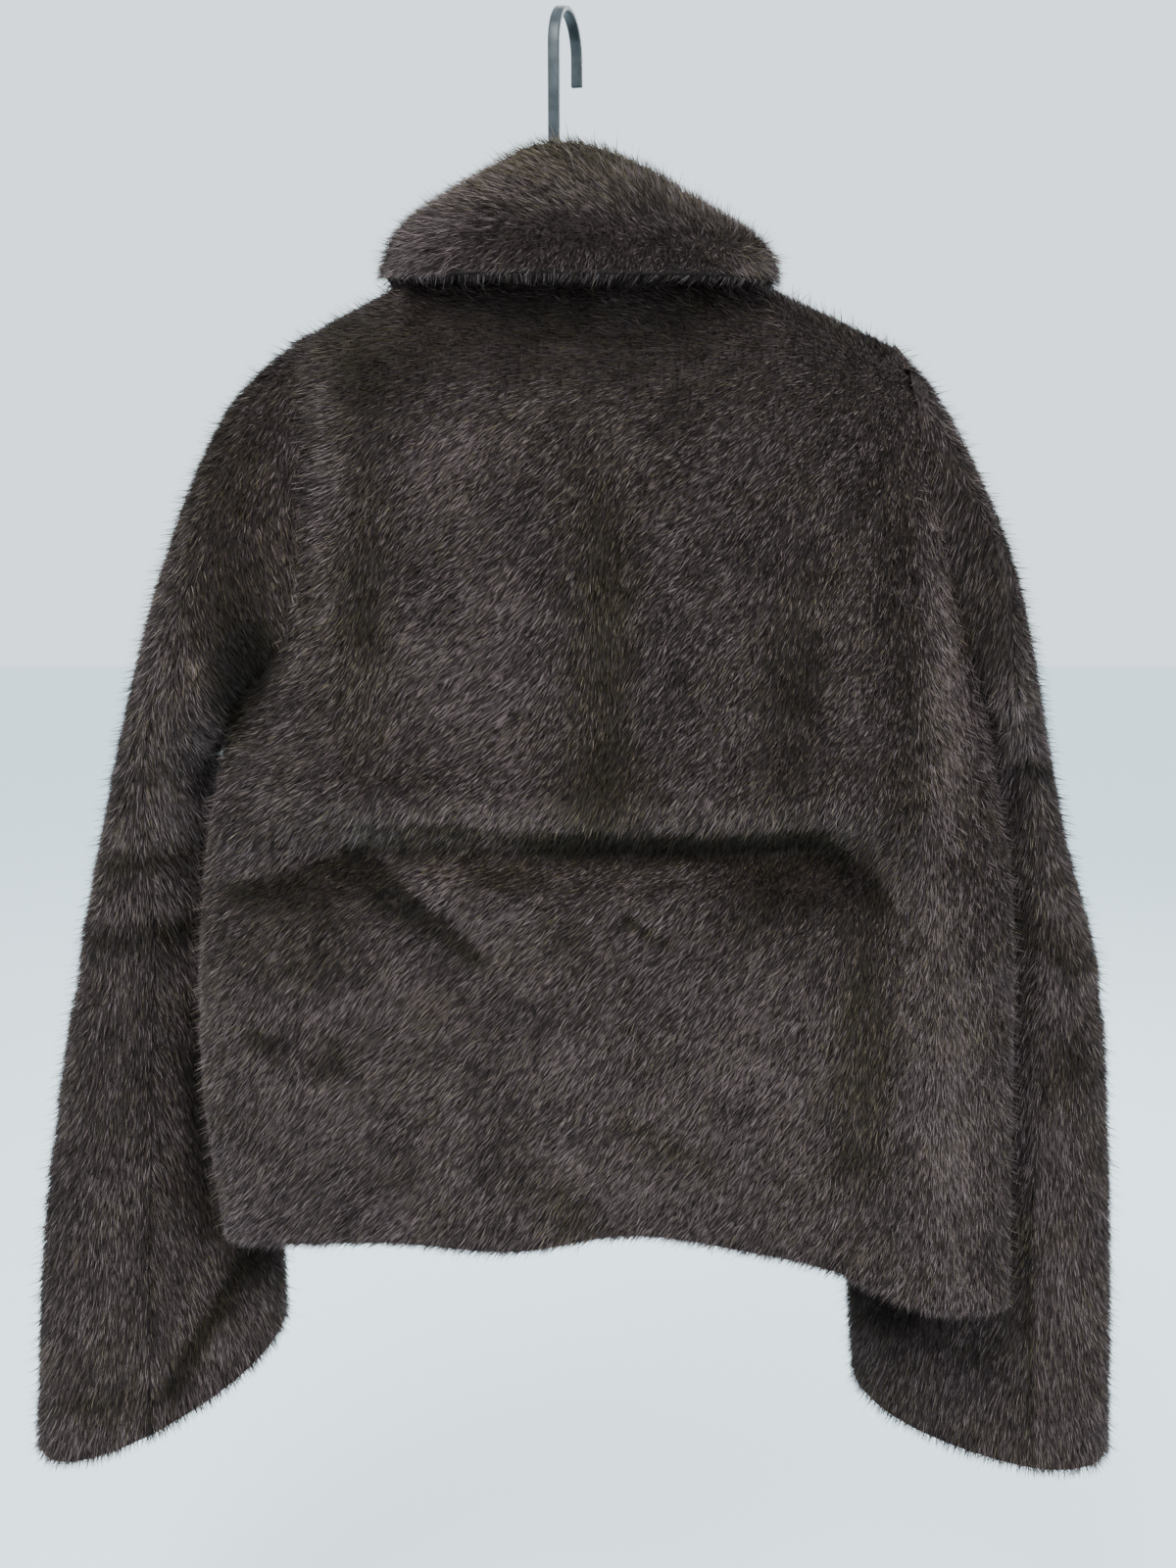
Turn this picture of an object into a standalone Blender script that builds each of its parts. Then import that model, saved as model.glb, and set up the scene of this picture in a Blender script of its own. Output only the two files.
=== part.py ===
"""Plush jacket hung on a hanger, seen from its back at -Y.

+Z is up, +X is to the right when looking at the jacket's back, and the fronts face +Y.
The origin is the inner top of the hanger's hook, where a rod would bear.
Every cloth piece is a wall: a grid of points on its outer face, and a second grid that lies
one wall's thickness inside it. Pieces that are sewn together share their edge points and the
direction of the wall there, and each then draws back half a seam gap.
"""

import math

import bmesh
import bpy
import numpy as np
from mathutils import Matrix

# Driving dimensions, in metres
WALL = 0.006  # knitted backing and the pile pressed over it
SEAM_GAP = 0.0003  # between two sewn edges
SECTION_POWER = 2.6  # how square the body's sections are: 2 is an ellipse
SLEEVE_POWER = 2.2
NECK_FRONT_POWER = 1.8  # how the neckline falls to its middle over the fronts
NECK_FRONT_FULLNESS = 0.8  # under 1, the front of the neckline is fuller than a half circle
HEM_FADE = 1.4  # how fast the hem's own line dies away up to the waist

# The hanger, which sets where the shoulder seams lie
HOOK_RADIUS = 0.019  # inner radius of the bent bar
HOOK_BAR = (0.0058, 0.0030)  # width and thickness of the flat bar
HOOK_TURN = math.radians(16)  # the hook is turned a little in its socket
HOOK_TIP_LENGTH = 0.013
HOOK_LEG_BOTTOM = -0.064
HANGER_PEAK = -0.091  # where the two shoulder lines would cross, on the cloth's outer face
HANGER_SLOPE = 0.455  # fall of each arm for each metre out
HANGER_TILT = 0.035  # the arm at +X hangs a little higher
HANGER_HALF_SPAN = 0.160
HANGER_BAR_RADIUS = 0.005
HANGER_BEND = 0.012  # how softly the two arms meet in the middle
HANGER_DROOP_FROM = 0.098
HANGER_DROOP = 7.0  # metres of droop for each square metre past that point

# The cut
SHOULDER_POINTS = (-0.1405, 0.1730)  # x of the two armholes' tops
NECK_POINTS = (-0.0745, 0.0935)  # x where the shoulder seams reach the neckline
NECK_BACK_DEPTH = 0.042
NECK_BACK_DROP = 0.011
NECK_FRONT_DEPTH = 0.040
NECK_FRONT_DROP = 0.072
NECK_FACING = (1.0, 1.6, 0.0)  # the stand faces out from the neck's middle, more so to back and front
FRONT_OPENING = 0.006  # the fronts hang just clear of each other
UNDERARM = -0.360
SHOULDER_ROLL = 0.045  # height over which the back and the fronts turn over to the shoulder seam
NECK_ROLL = 0.030

BODY_MIDDLE = (0.02, 0.0, -0.40)
NECK_MIDDLE = (sum(NECK_POINTS) / 2, 0.004, 0.0)

# Counts of cells
BACK_COLUMNS = 26
FRONT_COLUMNS = 11
SHOULDER_COLUMNS = 5
ARMHOLE_ROWS = 11
SLEEVE_RINGS = 24
HOOK_TURNS = 20
HOOK_BEND_STEPS = 6
ARM_STEPS = 24

CLOTH = ("plush_pile", (0.062, 0.043, 0.039), 0.85, 0.0)
DARK_BAR = ("dark_coated_bar", (0.030, 0.034, 0.038), 0.45, 0.6)


def table(names, *rows):
    """A table as one array for each named column."""
    return dict(zip(names.split(), np.array(rows, float).T))


# The body's sections, from the hem to the shoulders: how far it reaches to each side and how deep it is
BODY = table(
    "height left right back front",
    (-0.700, -0.194, 0.256, 0.056, 0.040),
    (-0.656, -0.198, 0.255, 0.058, 0.042),
    (-0.568, -0.207, 0.252, 0.062, 0.045),
    (-0.510, -0.206, 0.250, 0.065, 0.046),
    (-0.430, -0.199, 0.243, 0.068, 0.047),
    (-0.400, -0.193, 0.236, 0.068, 0.047),
    (-0.360, -0.185, 0.229, 0.067, 0.047),
    (-0.300, -0.176, 0.216, 0.067, 0.046),
    (-0.240, -0.168, 0.204, 0.066, 0.045),
    (-0.190, -0.162, 0.196, 0.062, 0.043),
    (-0.120, -0.160, 0.192, 0.058, 0.040),
)
# Where the armhole seams cross the back and the fronts, from the underarm (0) to the shoulder point (1)
ARMHOLES = table(
    "rise back_left front_left back_right front_right",
    (0.00, -0.1850, -0.1850, 0.2290, 0.2290),
    (0.08, -0.1690, -0.1660, 0.2215, 0.2080),
    (0.20, -0.1480, -0.1440, 0.2120, 0.1870),
    (0.35, -0.1380, -0.1330, 0.2030, 0.1730),
    (0.60, -0.1345, -0.1300, 0.1900, 0.1660),
    (0.85, -0.1350, -0.1330, 0.1790, 0.1680),
    (1.00, -0.1405, -0.1405, 0.1730, 0.1730),
)
# The hem's height along the back and along the fronts
HEM = table(
    "across back front",
    (-0.198, -0.656, -0.656),
    (-0.095, -0.644, -0.664),
    (-0.010, -0.647, -0.668),
    (0.033, -0.634, -0.670),
    (0.085, -0.645, -0.674),
    (0.150, -0.661, -0.682),
    (0.197, -0.686, -0.690),
    (0.255, -0.697, -0.697),
)
# Heights of the body's rows over the hem; they are close at the waist, where the folds are
BODY_HEIGHTS = (-0.660, -0.635, -0.605, -0.573, -0.542, -0.515, -0.492, -0.474, -0.459, -0.447,
                -0.436, -0.426, -0.416, -0.406, -0.395, -0.383, -0.371, UNDERARM)

# Largest folds of the back: each line's ends, depth of the hollow below it, and its half height
FOLDS = table(
    "x0 z0 x1 z1 depth half",
    (-0.118, -0.4165, 0.150, -0.4195, 0.0120, 0.012),
    (-0.207, -0.442, -0.118, -0.420, 0.0080, 0.018),
    (-0.118, -0.424, -0.060, -0.464, 0.0070, 0.020),
    (0.142, -0.418, 0.172, -0.440, 0.0070, 0.019),
)
FOLD_SWELL = 0.40  # the cloth hangs out over each hollow by this share of its depth
FOLD_KEPT_OFF = 0.03  # no fold reaches the side seams, where the back is less deep than this
WAIST = -0.459  # the hem's own line dies away up to this height

# Sleeves: the outer and the inner line of each ring, from the armhole (0) to the cuff (1), half the
# depth from back to front, and how many degrees that depth is turned, back side toward the body
SLEEVE_COLUMNS = "along outer_x outer_y outer_z inner_x inner_y inner_z depth turned"
SLEEVES = {
    "left": table(
        SLEEVE_COLUMNS,
        (0.00, -0.1405, 0.000, -0.1600, -0.1850, 0.000, -0.3600, 0.052, 0),
        (0.06, -0.1700, 0.000, -0.1825, -0.1900, 0.001, -0.3670, 0.054, 0),
        (0.12, -0.1910, 0.000, -0.2180, -0.1950, 0.003, -0.3740, 0.055, 0),
        (0.20, -0.2140, 0.000, -0.2750, -0.2010, 0.010, -0.3800, 0.053, 1),
        (0.28, -0.2340, 0.002, -0.3350, -0.2040, 0.022, -0.3870, 0.050, 3),
        (0.36, -0.2500, 0.004, -0.3900, -0.2030, 0.037, -0.3990, 0.045, 6),
        (0.44, -0.2630, 0.007, -0.4380, -0.1980, 0.053, -0.4260, 0.041, 12),
        (0.55, -0.2780, 0.012, -0.5000, -0.1890, 0.066, -0.4850, 0.036, 18),
        (0.70, -0.2970, 0.016, -0.5900, -0.1810, 0.072, -0.5620, 0.034, 20),
        (0.85, -0.3120, 0.018, -0.6850, -0.1750, 0.070, -0.6470, 0.035, 20),
        (1.00, -0.3210, 0.016, -0.8030, -0.1720, 0.062, -0.7330, 0.037, 20),
    ),
    "right": table(
        SLEEVE_COLUMNS,
        (0.00, 0.1730, 0.000, -0.1636, 0.2290, 0.000, -0.3600, 0.050, 0),
        (0.06, 0.1945, 0.000, -0.1870, 0.2345, 0.003, -0.3640, 0.053, 0),
        (0.12, 0.2135, 0.000, -0.2220, 0.2400, 0.010, -0.3670, 0.054, 0),
        (0.20, 0.2390, 0.004, -0.2760, 0.2410, 0.018, -0.3740, 0.050, 3),
        (0.28, 0.2585, 0.014, -0.3350, 0.2400, 0.036, -0.3840, 0.046, 8),
        (0.36, 0.2735, 0.024, -0.3910, 0.2340, 0.055, -0.4000, 0.042, 13),
        (0.44, 0.2865, 0.030, -0.4400, 0.2270, 0.072, -0.4290, 0.039, 16),
        (0.55, 0.3060, 0.028, -0.5040, 0.2150, 0.085, -0.4810, 0.036, 18),
        (0.70, 0.3185, 0.032, -0.5920, 0.1930, 0.090, -0.5660, 0.034, 20),
        (0.85, 0.3260, 0.033, -0.6900, 0.1710, 0.092, -0.6680, 0.035, 20),
        (1.00, 0.3300, 0.028, -0.8120, 0.1770, 0.084, -0.7850, 0.037, 20),
    ),
}
ARMHOLE_FADE = 0.16  # past this share of the sleeve, the armhole's own shape has died away
CUFF_SAG = {"left": 0.016, "right": 0.014}  # the middle of each cuff hangs lower than its two sides
CUFF_SAG_FROM = 0.86
SLEEVE_SEAMS = {"left": (0.27, 0.77), "right": (0.32, 0.77)}  # turns from the underarm by way of the back

# Collar, round the neckline from one front edge (0) by way of the back (0.5) to the other (1).
# The inner face's lean and height at the fold, then where the fall's lower edge lies, from the neckline.
COLLAR = table(
    "along lean stand edge_x edge_y edge_z",
    (0.00, -0.004, 0.014, -0.036, 0.016, -0.062),
    (0.12, 0.002, 0.016, -0.030, 0.012, -0.044),
    (0.25, 0.013, 0.020, -0.018, 0.004, -0.005),
    (0.37, 0.011, 0.047, -0.016, -0.026, 0.000),
    (0.46, 0.010, 0.066, -0.002, -0.038, 0.002),
    (0.54, 0.009, 0.060, 0.003, -0.036, 0.002),
    (0.64, 0.014, 0.038, 0.012, -0.028, 0.001),
    (0.75, 0.021, 0.014, 0.013, 0.004, -0.005),
    (0.88, 0.002, 0.016, 0.030, 0.012, -0.044),
    (1.00, -0.004, 0.014, 0.036, 0.016, -0.062),
)
COLLAR_FOLD_RADIUS = 0.0028
COLLAR_BULGE = 0.010
COLLAR_CLEARANCE = 0.005
COLLAR_STAND_ROWS = 4
COLLAR_FOLD_ROWS = 3
COLLAR_FALL_ROWS = 5

# Which cells lie along each seam
UNDERARM_ROW = len(BODY_HEIGHTS) - 1
BACK_EDGES = {"left": (0, 1), "right": (-1, -2)}  # the back's edge column on a side, and the one beside it
BACK_SHOULDERS = {
    "left": slice(0, SHOULDER_COLUMNS + 1),
    "right": slice(-1, -SHOULDER_COLUMNS - 2, -1),
}
FRONT_SHOULDER = slice(0, SHOULDER_COLUMNS + 1)
NECK_COUNT = FRONT_COLUMNS - SHOULDER_COLUMNS  # points of the neckline that each front has
NECK_BACK = slice(SHOULDER_COLUMNS, BACK_COLUMNS - SHOULDER_COLUMNS + 1)
NECK_FRONTS = {
    "left": slice(FRONT_COLUMNS, SHOULDER_COLUMNS, -1),
    "right": slice(SHOULDER_COLUMNS + 1, FRONT_COLUMNS + 1),
}
# An armhole's loop runs up the back's edge from the underarm and down the front's.
# These are its points from the underarm up, as the front has them.
LOOP_BACK = np.arange(ARMHOLE_ROWS + 1)
LOOP_FRONT = np.concatenate([[0], np.arange(2 * ARMHOLE_ROWS - 1, ARMHOLE_ROWS - 1, -1)])


def smooth(keys, values, at):
    """A smooth curve through a table's column, level past its two ends."""
    keys, values = np.asarray(keys), np.asarray(values)
    slopes = np.gradient(values, keys)
    start = np.clip(np.searchsorted(keys, at) - 1, 0, len(keys) - 2)
    width = keys[start + 1] - keys[start]
    t = np.clip((at - keys[start]) / width, 0.0, 1.0)
    rise, fall = 3 * t**2 - 2 * t**3, t * (1 - t)
    return (
        values[start] * (1 - rise)
        + values[start + 1] * rise
        + width * fall * ((1 - t) * slopes[start] - t * slopes[start + 1])
    )


def signed_power(value, power):
    return np.sign(value) * np.abs(value) ** power


def unit(vectors):
    return vectors / np.linalg.norm(vectors, axis=-1, keepdims=True)


# ---------------------------------------------------------------- the body's outer face


def shoulder_height(x):
    """Height of the shoulder line: the cloth lies on the hanger's two arms."""
    return HANGER_PEAK - HANGER_SLOPE * np.abs(x) + HANGER_TILT * x


def body(column, height):
    return smooth(BODY["height"], BODY[column], height)


def body_depth(x, height, side):
    """How far the back or the fronts stand out at a place on the body."""
    left, right = body("left", height), body("right", height)
    reach = np.clip(np.abs(2 * x - left - right) / (right - left), 0.0, 1.0)
    return body(side, height) * (1 - reach**SECTION_POWER) ** (1 / SECTION_POWER)


def fold_relief(x, z):
    """How far the back is pressed in at its folds; less than nothing where it swells."""
    relief = np.zeros_like(x)
    for x0, z0, x1, z1, depth, half in zip(*FOLDS.values()):
        run = np.array([x1 - x0, z1 - z0])
        length = np.hypot(*run)
        along = ((x - x0) * run[0] + (z - z0) * run[1]) / length
        above = ((z - z0) * run[0] - (x - x0) * run[1]) / length
        past = np.maximum(np.maximum(-along, along - length), 0.0)
        fade = np.exp(-((past / (1.6 * half)) ** 2))
        hollow = np.exp(-((above / half + 0.7) ** 2))
        swell = np.exp(-(((above / half - 1.5) / 1.5) ** 2))
        relief += depth * fade * (hollow - FOLD_SWELL * swell)
    return relief


def neck_arc(x):
    """0 at the neck points and 1 in the middle of the neckline."""
    middle, half = sum(NECK_POINTS) / 2, (NECK_POINTS[1] - NECK_POINTS[0]) / 2
    return np.sqrt(np.clip(1 - ((x - middle) / half) ** 2, 0.0, 1.0))


def top_line(x, side):
    """Depth and height of a panel's top edge: the shoulder seams and the neckline."""
    arc = neck_arc(x)
    ends = np.interp(x, NECK_POINTS, [shoulder_height(p) for p in NECK_POINTS])
    if side == "back":
        depth, drop = NECK_BACK_DEPTH * arc, NECK_BACK_DROP * arc
    else:
        depth = NECK_FRONT_DEPTH * arc**NECK_FRONT_FULLNESS
        drop = NECK_FRONT_DROP * arc**NECK_FRONT_POWER
    inside = (x > NECK_POINTS[0]) & (x < NECK_POINTS[1])
    height = np.where(inside, ends - drop, shoulder_height(x))
    return depth, height


def rolled_depth(x, z, side, arc, depth_top, height_top):
    """How far a panel stands out near its top edge, where it rolls over to the seam."""
    roll = SHOULDER_ROLL + (NECK_ROLL - SHOULDER_ROLL) * arc
    over = np.clip((z - height_top + roll) / roll, 0.0, 1.0)
    turned = (1 - over ** (2 - 0.5 * arc)) ** (0.5 + 0.5 * arc)
    return depth_top + (body_depth(x, z, side) - depth_top) * turned


def body_face(side, x_bottom, x_top, edges, sign):
    """A grid of points on one panel, from the hem's row to the top row.

    x_bottom and x_top are the columns' places at the underarm's row and at the top row.
    edges gives the panel's two side edges over the armhole's rise.
    """
    rows = []
    left, right = body("left", UNDERARM), body("right", UNDERARM)
    middle, half = (left + right) / 2, (right - left) / 2
    share = (x_bottom - middle) / half
    for height in BODY_HEIGHTS:
        x = (body("left", height) + body("right", height)) / 2
        x = x + share * (body("right", height) - body("left", height)) / 2
        down = np.clip((WAIST - height) / (WAIST - BODY_HEIGHTS[0]), 0.0, 1.0)
        z = height + (smooth(HEM["across"], HEM[side], x) - BODY_HEIGHTS[0]) * down**HEM_FADE
        y = body_depth(x, height, side)
        rows.append(np.stack([x, sign * y, z], axis=-1))
    depth_top, height_top = top_line(x_top, side)
    across_top = (x_top - x_top[0]) / (x_top[-1] - x_top[0])
    across_low = (x_bottom - x_bottom[0]) / (x_bottom[-1] - x_bottom[0])
    arc = neck_arc(x_top)
    for step in range(1, ARMHOLE_ROWS + 1):
        rise = step / ARMHOLE_ROWS
        lift = (1 - math.cos(math.pi * rise)) / 2
        first, last = edges(lift)
        across = across_low + (across_top - across_low) * rise
        x = first + (last - first) * across
        z = UNDERARM + (height_top - UNDERARM) * lift
        y = rolled_depth(x, z, side, arc, depth_top, height_top)
        if step == ARMHOLE_ROWS:
            x = x_top
            y = depth_top
        rows.append(np.stack([x, sign * y, z], axis=-1))
    return np.array(rows)


def armhole_edge(column, lift):
    return float(smooth(ARMHOLES["rise"], ARMHOLES[column], lift))


def back_grid():
    turn = np.linspace(-math.pi / 2, math.pi / 2, BACK_COLUMNS + 1)
    left, right = body("left", UNDERARM), body("right", UNDERARM)
    x_bottom = (left + right) / 2 + (right - left) / 2 * signed_power(np.sin(turn), 2 / SECTION_POWER)
    x_top = np.concatenate([
        np.linspace(SHOULDER_POINTS[0], NECK_POINTS[0], SHOULDER_COLUMNS + 1),
        sum(NECK_POINTS) / 2
        - (NECK_POINTS[1] - NECK_POINTS[0]) / 2
        * np.cos(np.linspace(0, math.pi, BACK_COLUMNS - 2 * SHOULDER_COLUMNS + 1)[1:-1]),
        np.linspace(NECK_POINTS[1], SHOULDER_POINTS[1], SHOULDER_COLUMNS + 1),
    ])

    def edges(lift):
        return armhole_edge("back_left", lift), armhole_edge("back_right", lift)

    grid = body_face("back", x_bottom, x_top, edges, -1)
    kept = np.clip(-grid[..., 1] / FOLD_KEPT_OFF, 0.0, 1.0)
    grid[..., 1] += kept * fold_relief(grid[..., 0], grid[..., 2])
    return grid


def front_grid(name):
    """A front panel, its columns running from the side seam to the front edge."""
    turn = np.linspace(math.pi / 2, 0, FRONT_COLUMNS + 1)
    left, right = body("left", UNDERARM), body("right", UNDERARM)
    middle = (left + right) / 2
    sign, shoulder, neck = {
        "left": (-1, SHOULDER_POINTS[0], NECK_POINTS[0]),
        "right": (1, SHOULDER_POINTS[1], NECK_POINTS[1]),
    }[name]
    meet = sum(NECK_POINTS) / 2 + sign * FRONT_OPENING / 2
    x_bottom = middle + sign * (right - left) / 2 * np.sin(turn) ** (2 / SECTION_POWER)
    x_bottom[-1] = middle + sign * FRONT_OPENING / 2
    quarter = np.linspace(0, math.pi / 2, FRONT_COLUMNS - SHOULDER_COLUMNS + 1)[1:]
    x_top = np.concatenate([
        np.linspace(shoulder, neck, SHOULDER_COLUMNS + 1),
        meet + (neck - meet) * np.cos(quarter),
    ])

    def edges(lift):
        return armhole_edge("front_" + name, lift), x_bottom[-1] + (meet - x_bottom[-1]) * lift

    return body_face("front", x_bottom, x_top, edges, 1)


# ---------------------------------------------------------------- the sleeves' outer faces


def sleeve_grid(name, armhole):
    """Closed rings from the armhole to the cuff. Columns start at the underarm and run by the back."""
    rows = SLEEVES[name]
    turn = np.linspace(0, 2 * math.pi, len(armhole), endpoint=False)
    outward_x = -1 if name == "left" else 1

    def ring(along):
        outer = np.array([smooth(rows["along"], rows["outer_" + axis], along) for axis in "xyz"])
        inner = np.array([smooth(rows["along"], rows["inner_" + axis], along) for axis in "xyz"])
        depth = smooth(rows["along"], rows["depth"], along)
        half = (outer - inner) / 2
        turned = math.radians(smooth(rows["along"], rows["turned"], along))
        toward_back = np.array([-outward_x * math.sin(turned), -math.cos(turned), 0.0])
        points = (
            (outer + inner) / 2
            - half * signed_power(np.cos(turn), 2 / SLEEVE_POWER)[:, None]
            + depth * toward_back * signed_power(np.sin(turn), 2 / SLEEVE_POWER)[:, None]
        )
        sag = CUFF_SAG[name] * np.clip((along - CUFF_SAG_FROM) / (1 - CUFF_SAG_FROM), 0, 1) ** 2
        points[:, 2] -= sag * np.abs(np.sin(turn))
        return points

    alongs = np.linspace(0, 1, SLEEVE_RINGS + 1)
    own_shape = armhole - ring(0.0)
    fades = np.clip(1 - alongs / ARMHOLE_FADE, 0, 1) ** 1.5
    return np.array([ring(along) + own_shape * fade for along, fade in zip(alongs, fades)])


# ---------------------------------------------------------------- the collar's hidden face


def clear_of_fronts(points):
    """Lifts the collar's rows off the fronts' outer face."""
    x, y, z = points[..., 0], points[..., 1], points[..., 2]
    depth_top, height_top = top_line(x, "front")
    z = z - COLLAR_CLEARANCE
    depth = rolled_depth(x, z, "front", neck_arc(x), depth_top, height_top)
    covered = (y > 0) & (z < height_top)
    points[..., 1] = np.where(covered, np.maximum(y, depth + COLLAR_CLEARANCE), y)
    return points


def collar_grid(neckline, outward):
    """Rows go up the stand, over the fold and down the fall; columns follow the neckline."""
    lengths = np.linalg.norm(np.diff(neckline, axis=0), axis=1)
    along = np.concatenate([[0], np.cumsum(lengths)]) / lengths.sum()
    column = {name: smooth(COLLAR["along"], COLLAR[name], along) for name in COLLAR}
    up = np.array([0.0, 0.0, 1.0])
    top = neckline - outward * column["lean"][:, None] + up * column["stand"][:, None]
    edge = neckline + np.stack([column["edge_x"], column["edge_y"], column["edge_z"]], axis=-1)
    rows = [neckline + (top - neckline) * t for t in np.linspace(0, 1, COLLAR_STAND_ROWS + 1)]
    centre = top + outward * COLLAR_FOLD_RADIUS
    for turn in np.linspace(math.pi, 0, COLLAR_FOLD_ROWS + 1)[1:]:
        rows.append(centre + COLLAR_FOLD_RADIUS * (outward * math.cos(turn) + up * math.sin(turn)))
    start = rows[-1]
    pull = (start + edge) / 2 + outward * COLLAR_BULGE + up * COLLAR_BULGE
    for t in np.linspace(0, 1, COLLAR_FALL_ROWS + 1)[1:]:
        rows.append(start * (1 - t) ** 2 + 2 * pull * t * (1 - t) + edge * t**2)
    grid = np.array(rows)
    fall = slice(COLLAR_STAND_ROWS + COLLAR_FOLD_ROWS, None)
    grid[fall] = clear_of_fronts(grid[fall])
    return grid


# ---------------------------------------------------------------- walls and seams


def inward_of(grid, closed=False):
    """Unit vectors square to a grid, for the sense of its rows and columns."""
    along = np.gradient(grid, axis=0)
    if closed:
        across = (np.roll(grid, -1, axis=1) - np.roll(grid, 1, axis=1)) / 2
    else:
        across = np.gradient(grid, axis=1)
    return unit(np.cross(along, across))


def pointing_to(centre, grid, vectors):
    """The same vectors, all turned about if they point away from a centre."""
    return vectors if np.sum(vectors * (centre - grid)) > 0 else -vectors


def across_seam(points, inward, closed=False):
    """Unit vectors that run along the cloth and straight across a seam."""
    along = np.roll(points, -1, 0) - np.roll(points, 1, 0) if closed else np.gradient(points, axis=0)
    return unit(np.cross(along, inward))


def draw_back(panel, edge, beside, across):
    """Moves one edge of a panel half a seam gap off the seam line, on both faces of its wall."""
    toward = np.sum((panel["face"][beside] - panel["face"][edge]) * across)
    panel["shift"][edge] += np.sign(toward) * across * SEAM_GAP / 2


def panel_of(face, inward):
    return {"face": face, "inward": inward.copy(), "shift": np.zeros_like(face)}


def material(name, colour, roughness, metallic):
    made = bpy.data.materials.get(name) or bpy.data.materials.new(name)
    made.use_nodes = True
    shader = made.node_tree.nodes["Principled BSDF"]
    shader.inputs["Base Color"].default_value = (*colour, 1.0)
    shader.inputs["Roughness"].default_value = roughness
    shader.inputs["Metallic"].default_value = metallic
    return made


def add_wall(collection, name, panel):
    """Builds a panel's closed wall: its outer grid, its inner grid and the rim between them."""
    outer = panel["face"] + panel["shift"]
    inner = outer + panel["inward"] * WALL
    rows, columns = outer.shape[:2]
    mesh = bmesh.new()
    faces = [
        [[mesh.verts.new(point) for point in row] for row in grid]
        for grid in (outer, inner)
    ]
    for grid, turned in zip(faces, (False, True)):
        for r in range(rows - 1):
            for c in range(columns - 1):
                corners = [grid[r][c], grid[r][c + 1], grid[r + 1][c + 1], grid[r + 1][c]]
                mesh.faces.new(corners[::-1] if turned else corners)
    border = [(0, c) for c in range(columns - 1)]
    border += [(r, columns - 1) for r in range(rows - 1)]
    border += [(rows - 1, c) for c in range(columns - 1, 0, -1)]
    border += [(r, 0) for r in range(rows - 1, 0, -1)]
    for here, after in zip(border, border[1:] + border[:1]):
        rim = [faces[k][r][c] for k, (r, c) in ((0, here), (1, here), (1, after), (0, after))]
        # Both sides of a seam split these faces the same way, by the shorter diagonal
        first = int((rim[0].co - rim[2].co).length > (rim[1].co - rim[3].co).length)
        for corner in (first, first + 2):
            mesh.faces.new([rim[(corner + step) % 4] for step in range(3)])
    bmesh.ops.recalc_face_normals(mesh, faces=mesh.faces)
    add_mesh(collection, name, mesh, material(*CLOTH))


def add_mesh(collection, name, mesh, surface):
    data = bpy.data.meshes.new(name)
    mesh.to_mesh(data)
    mesh.free()
    data.shade_smooth()
    data.set_sharp_from_angle(angle=math.radians(45))
    data.materials.append(surface)
    made = bpy.data.objects.new(name, data)
    collection.objects.link(made)
    return made


# ---------------------------------------------------------------- the hanger


def hook_path():
    """The hook's bar: down the hidden shaft's bend, up the leg, round the crown and down to the tip."""
    radius = HOOK_RADIUS + HOOK_BAR[1] / 2
    points = [(0.0, hanger_height(0.0) + HANGER_BAR_RADIUS + SEAM_GAP)]
    for t in np.linspace(0, 1, HOOK_BEND_STEPS + 1)[1:]:
        points.append((-radius * t * t * (3 - 2 * t), points[0][1] * (1 - t) + HOOK_LEG_BOTTOM * t))
    turns = np.linspace(math.pi, 0, HOOK_TURNS + 1)
    points += [(radius * math.cos(turn), radius * math.sin(turn) - HOOK_RADIUS) for turn in turns]
    points.append((radius, -HOOK_RADIUS - HOOK_TIP_LENGTH))
    return points


def hanger_height(x):
    """Height of the arms' middle line: under the shoulder seams, and drooping to the ends."""
    slope = math.atan(HANGER_SLOPE)
    below = (WALL + SEAM_GAP + HANGER_BAR_RADIUS) / math.cos(slope)
    droop = HANGER_DROOP * max(abs(x) - HANGER_DROOP_FROM, 0.0) ** 2
    rounded = math.copysign(math.hypot(x, HANGER_BEND), x)
    return float(shoulder_height(rounded)) - below - droop


def add_hook(collection):
    """A flat bar: a ribbon bent in one plane, turned about the upright and given its thickness."""
    width, thickness = HOOK_BAR
    mesh = bmesh.new()
    path = [mesh.verts.new((-width / 2, y, z)) for y, z in hook_path()]
    line = [mesh.edges.new(pair) for pair in zip(path, path[1:])]
    swept = bmesh.ops.extrude_edge_only(mesh, edges=line)["geom"]
    far_side = [item for item in swept if isinstance(item, bmesh.types.BMVert)]
    bmesh.ops.translate(mesh, vec=(width, 0.0, 0.0), verts=far_side)
    made = add_mesh(collection, "hanger_hook", mesh, material(*DARK_BAR))
    made.data.transform(Matrix.Rotation(-HOOK_TURN, 4, "Z"))
    solid = made.modifiers.new("bar_thickness", "SOLIDIFY")
    solid.thickness = thickness
    solid.offset = 0.0


def add_arms(collection):
    """One round bar that runs through both shoulders."""
    data = bpy.data.curves.new("hanger_arms", "CURVE")
    data.dimensions = "3D"
    data.bevel_depth = HANGER_BAR_RADIUS
    data.bevel_resolution = 2
    data.use_fill_caps = True
    spline = data.splines.new("POLY")
    across = np.linspace(-HANGER_HALF_SPAN, HANGER_HALF_SPAN, ARM_STEPS + 1)
    spline.points.add(len(across) - 1)
    for point, x in zip(spline.points, across):
        point.co = (x, 0.0, hanger_height(x), 1.0)
    data.materials.append(material(*DARK_BAR))
    collection.objects.link(bpy.data.objects.new("hanger_arms", data))


# ---------------------------------------------------------------- putting the jacket together


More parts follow.
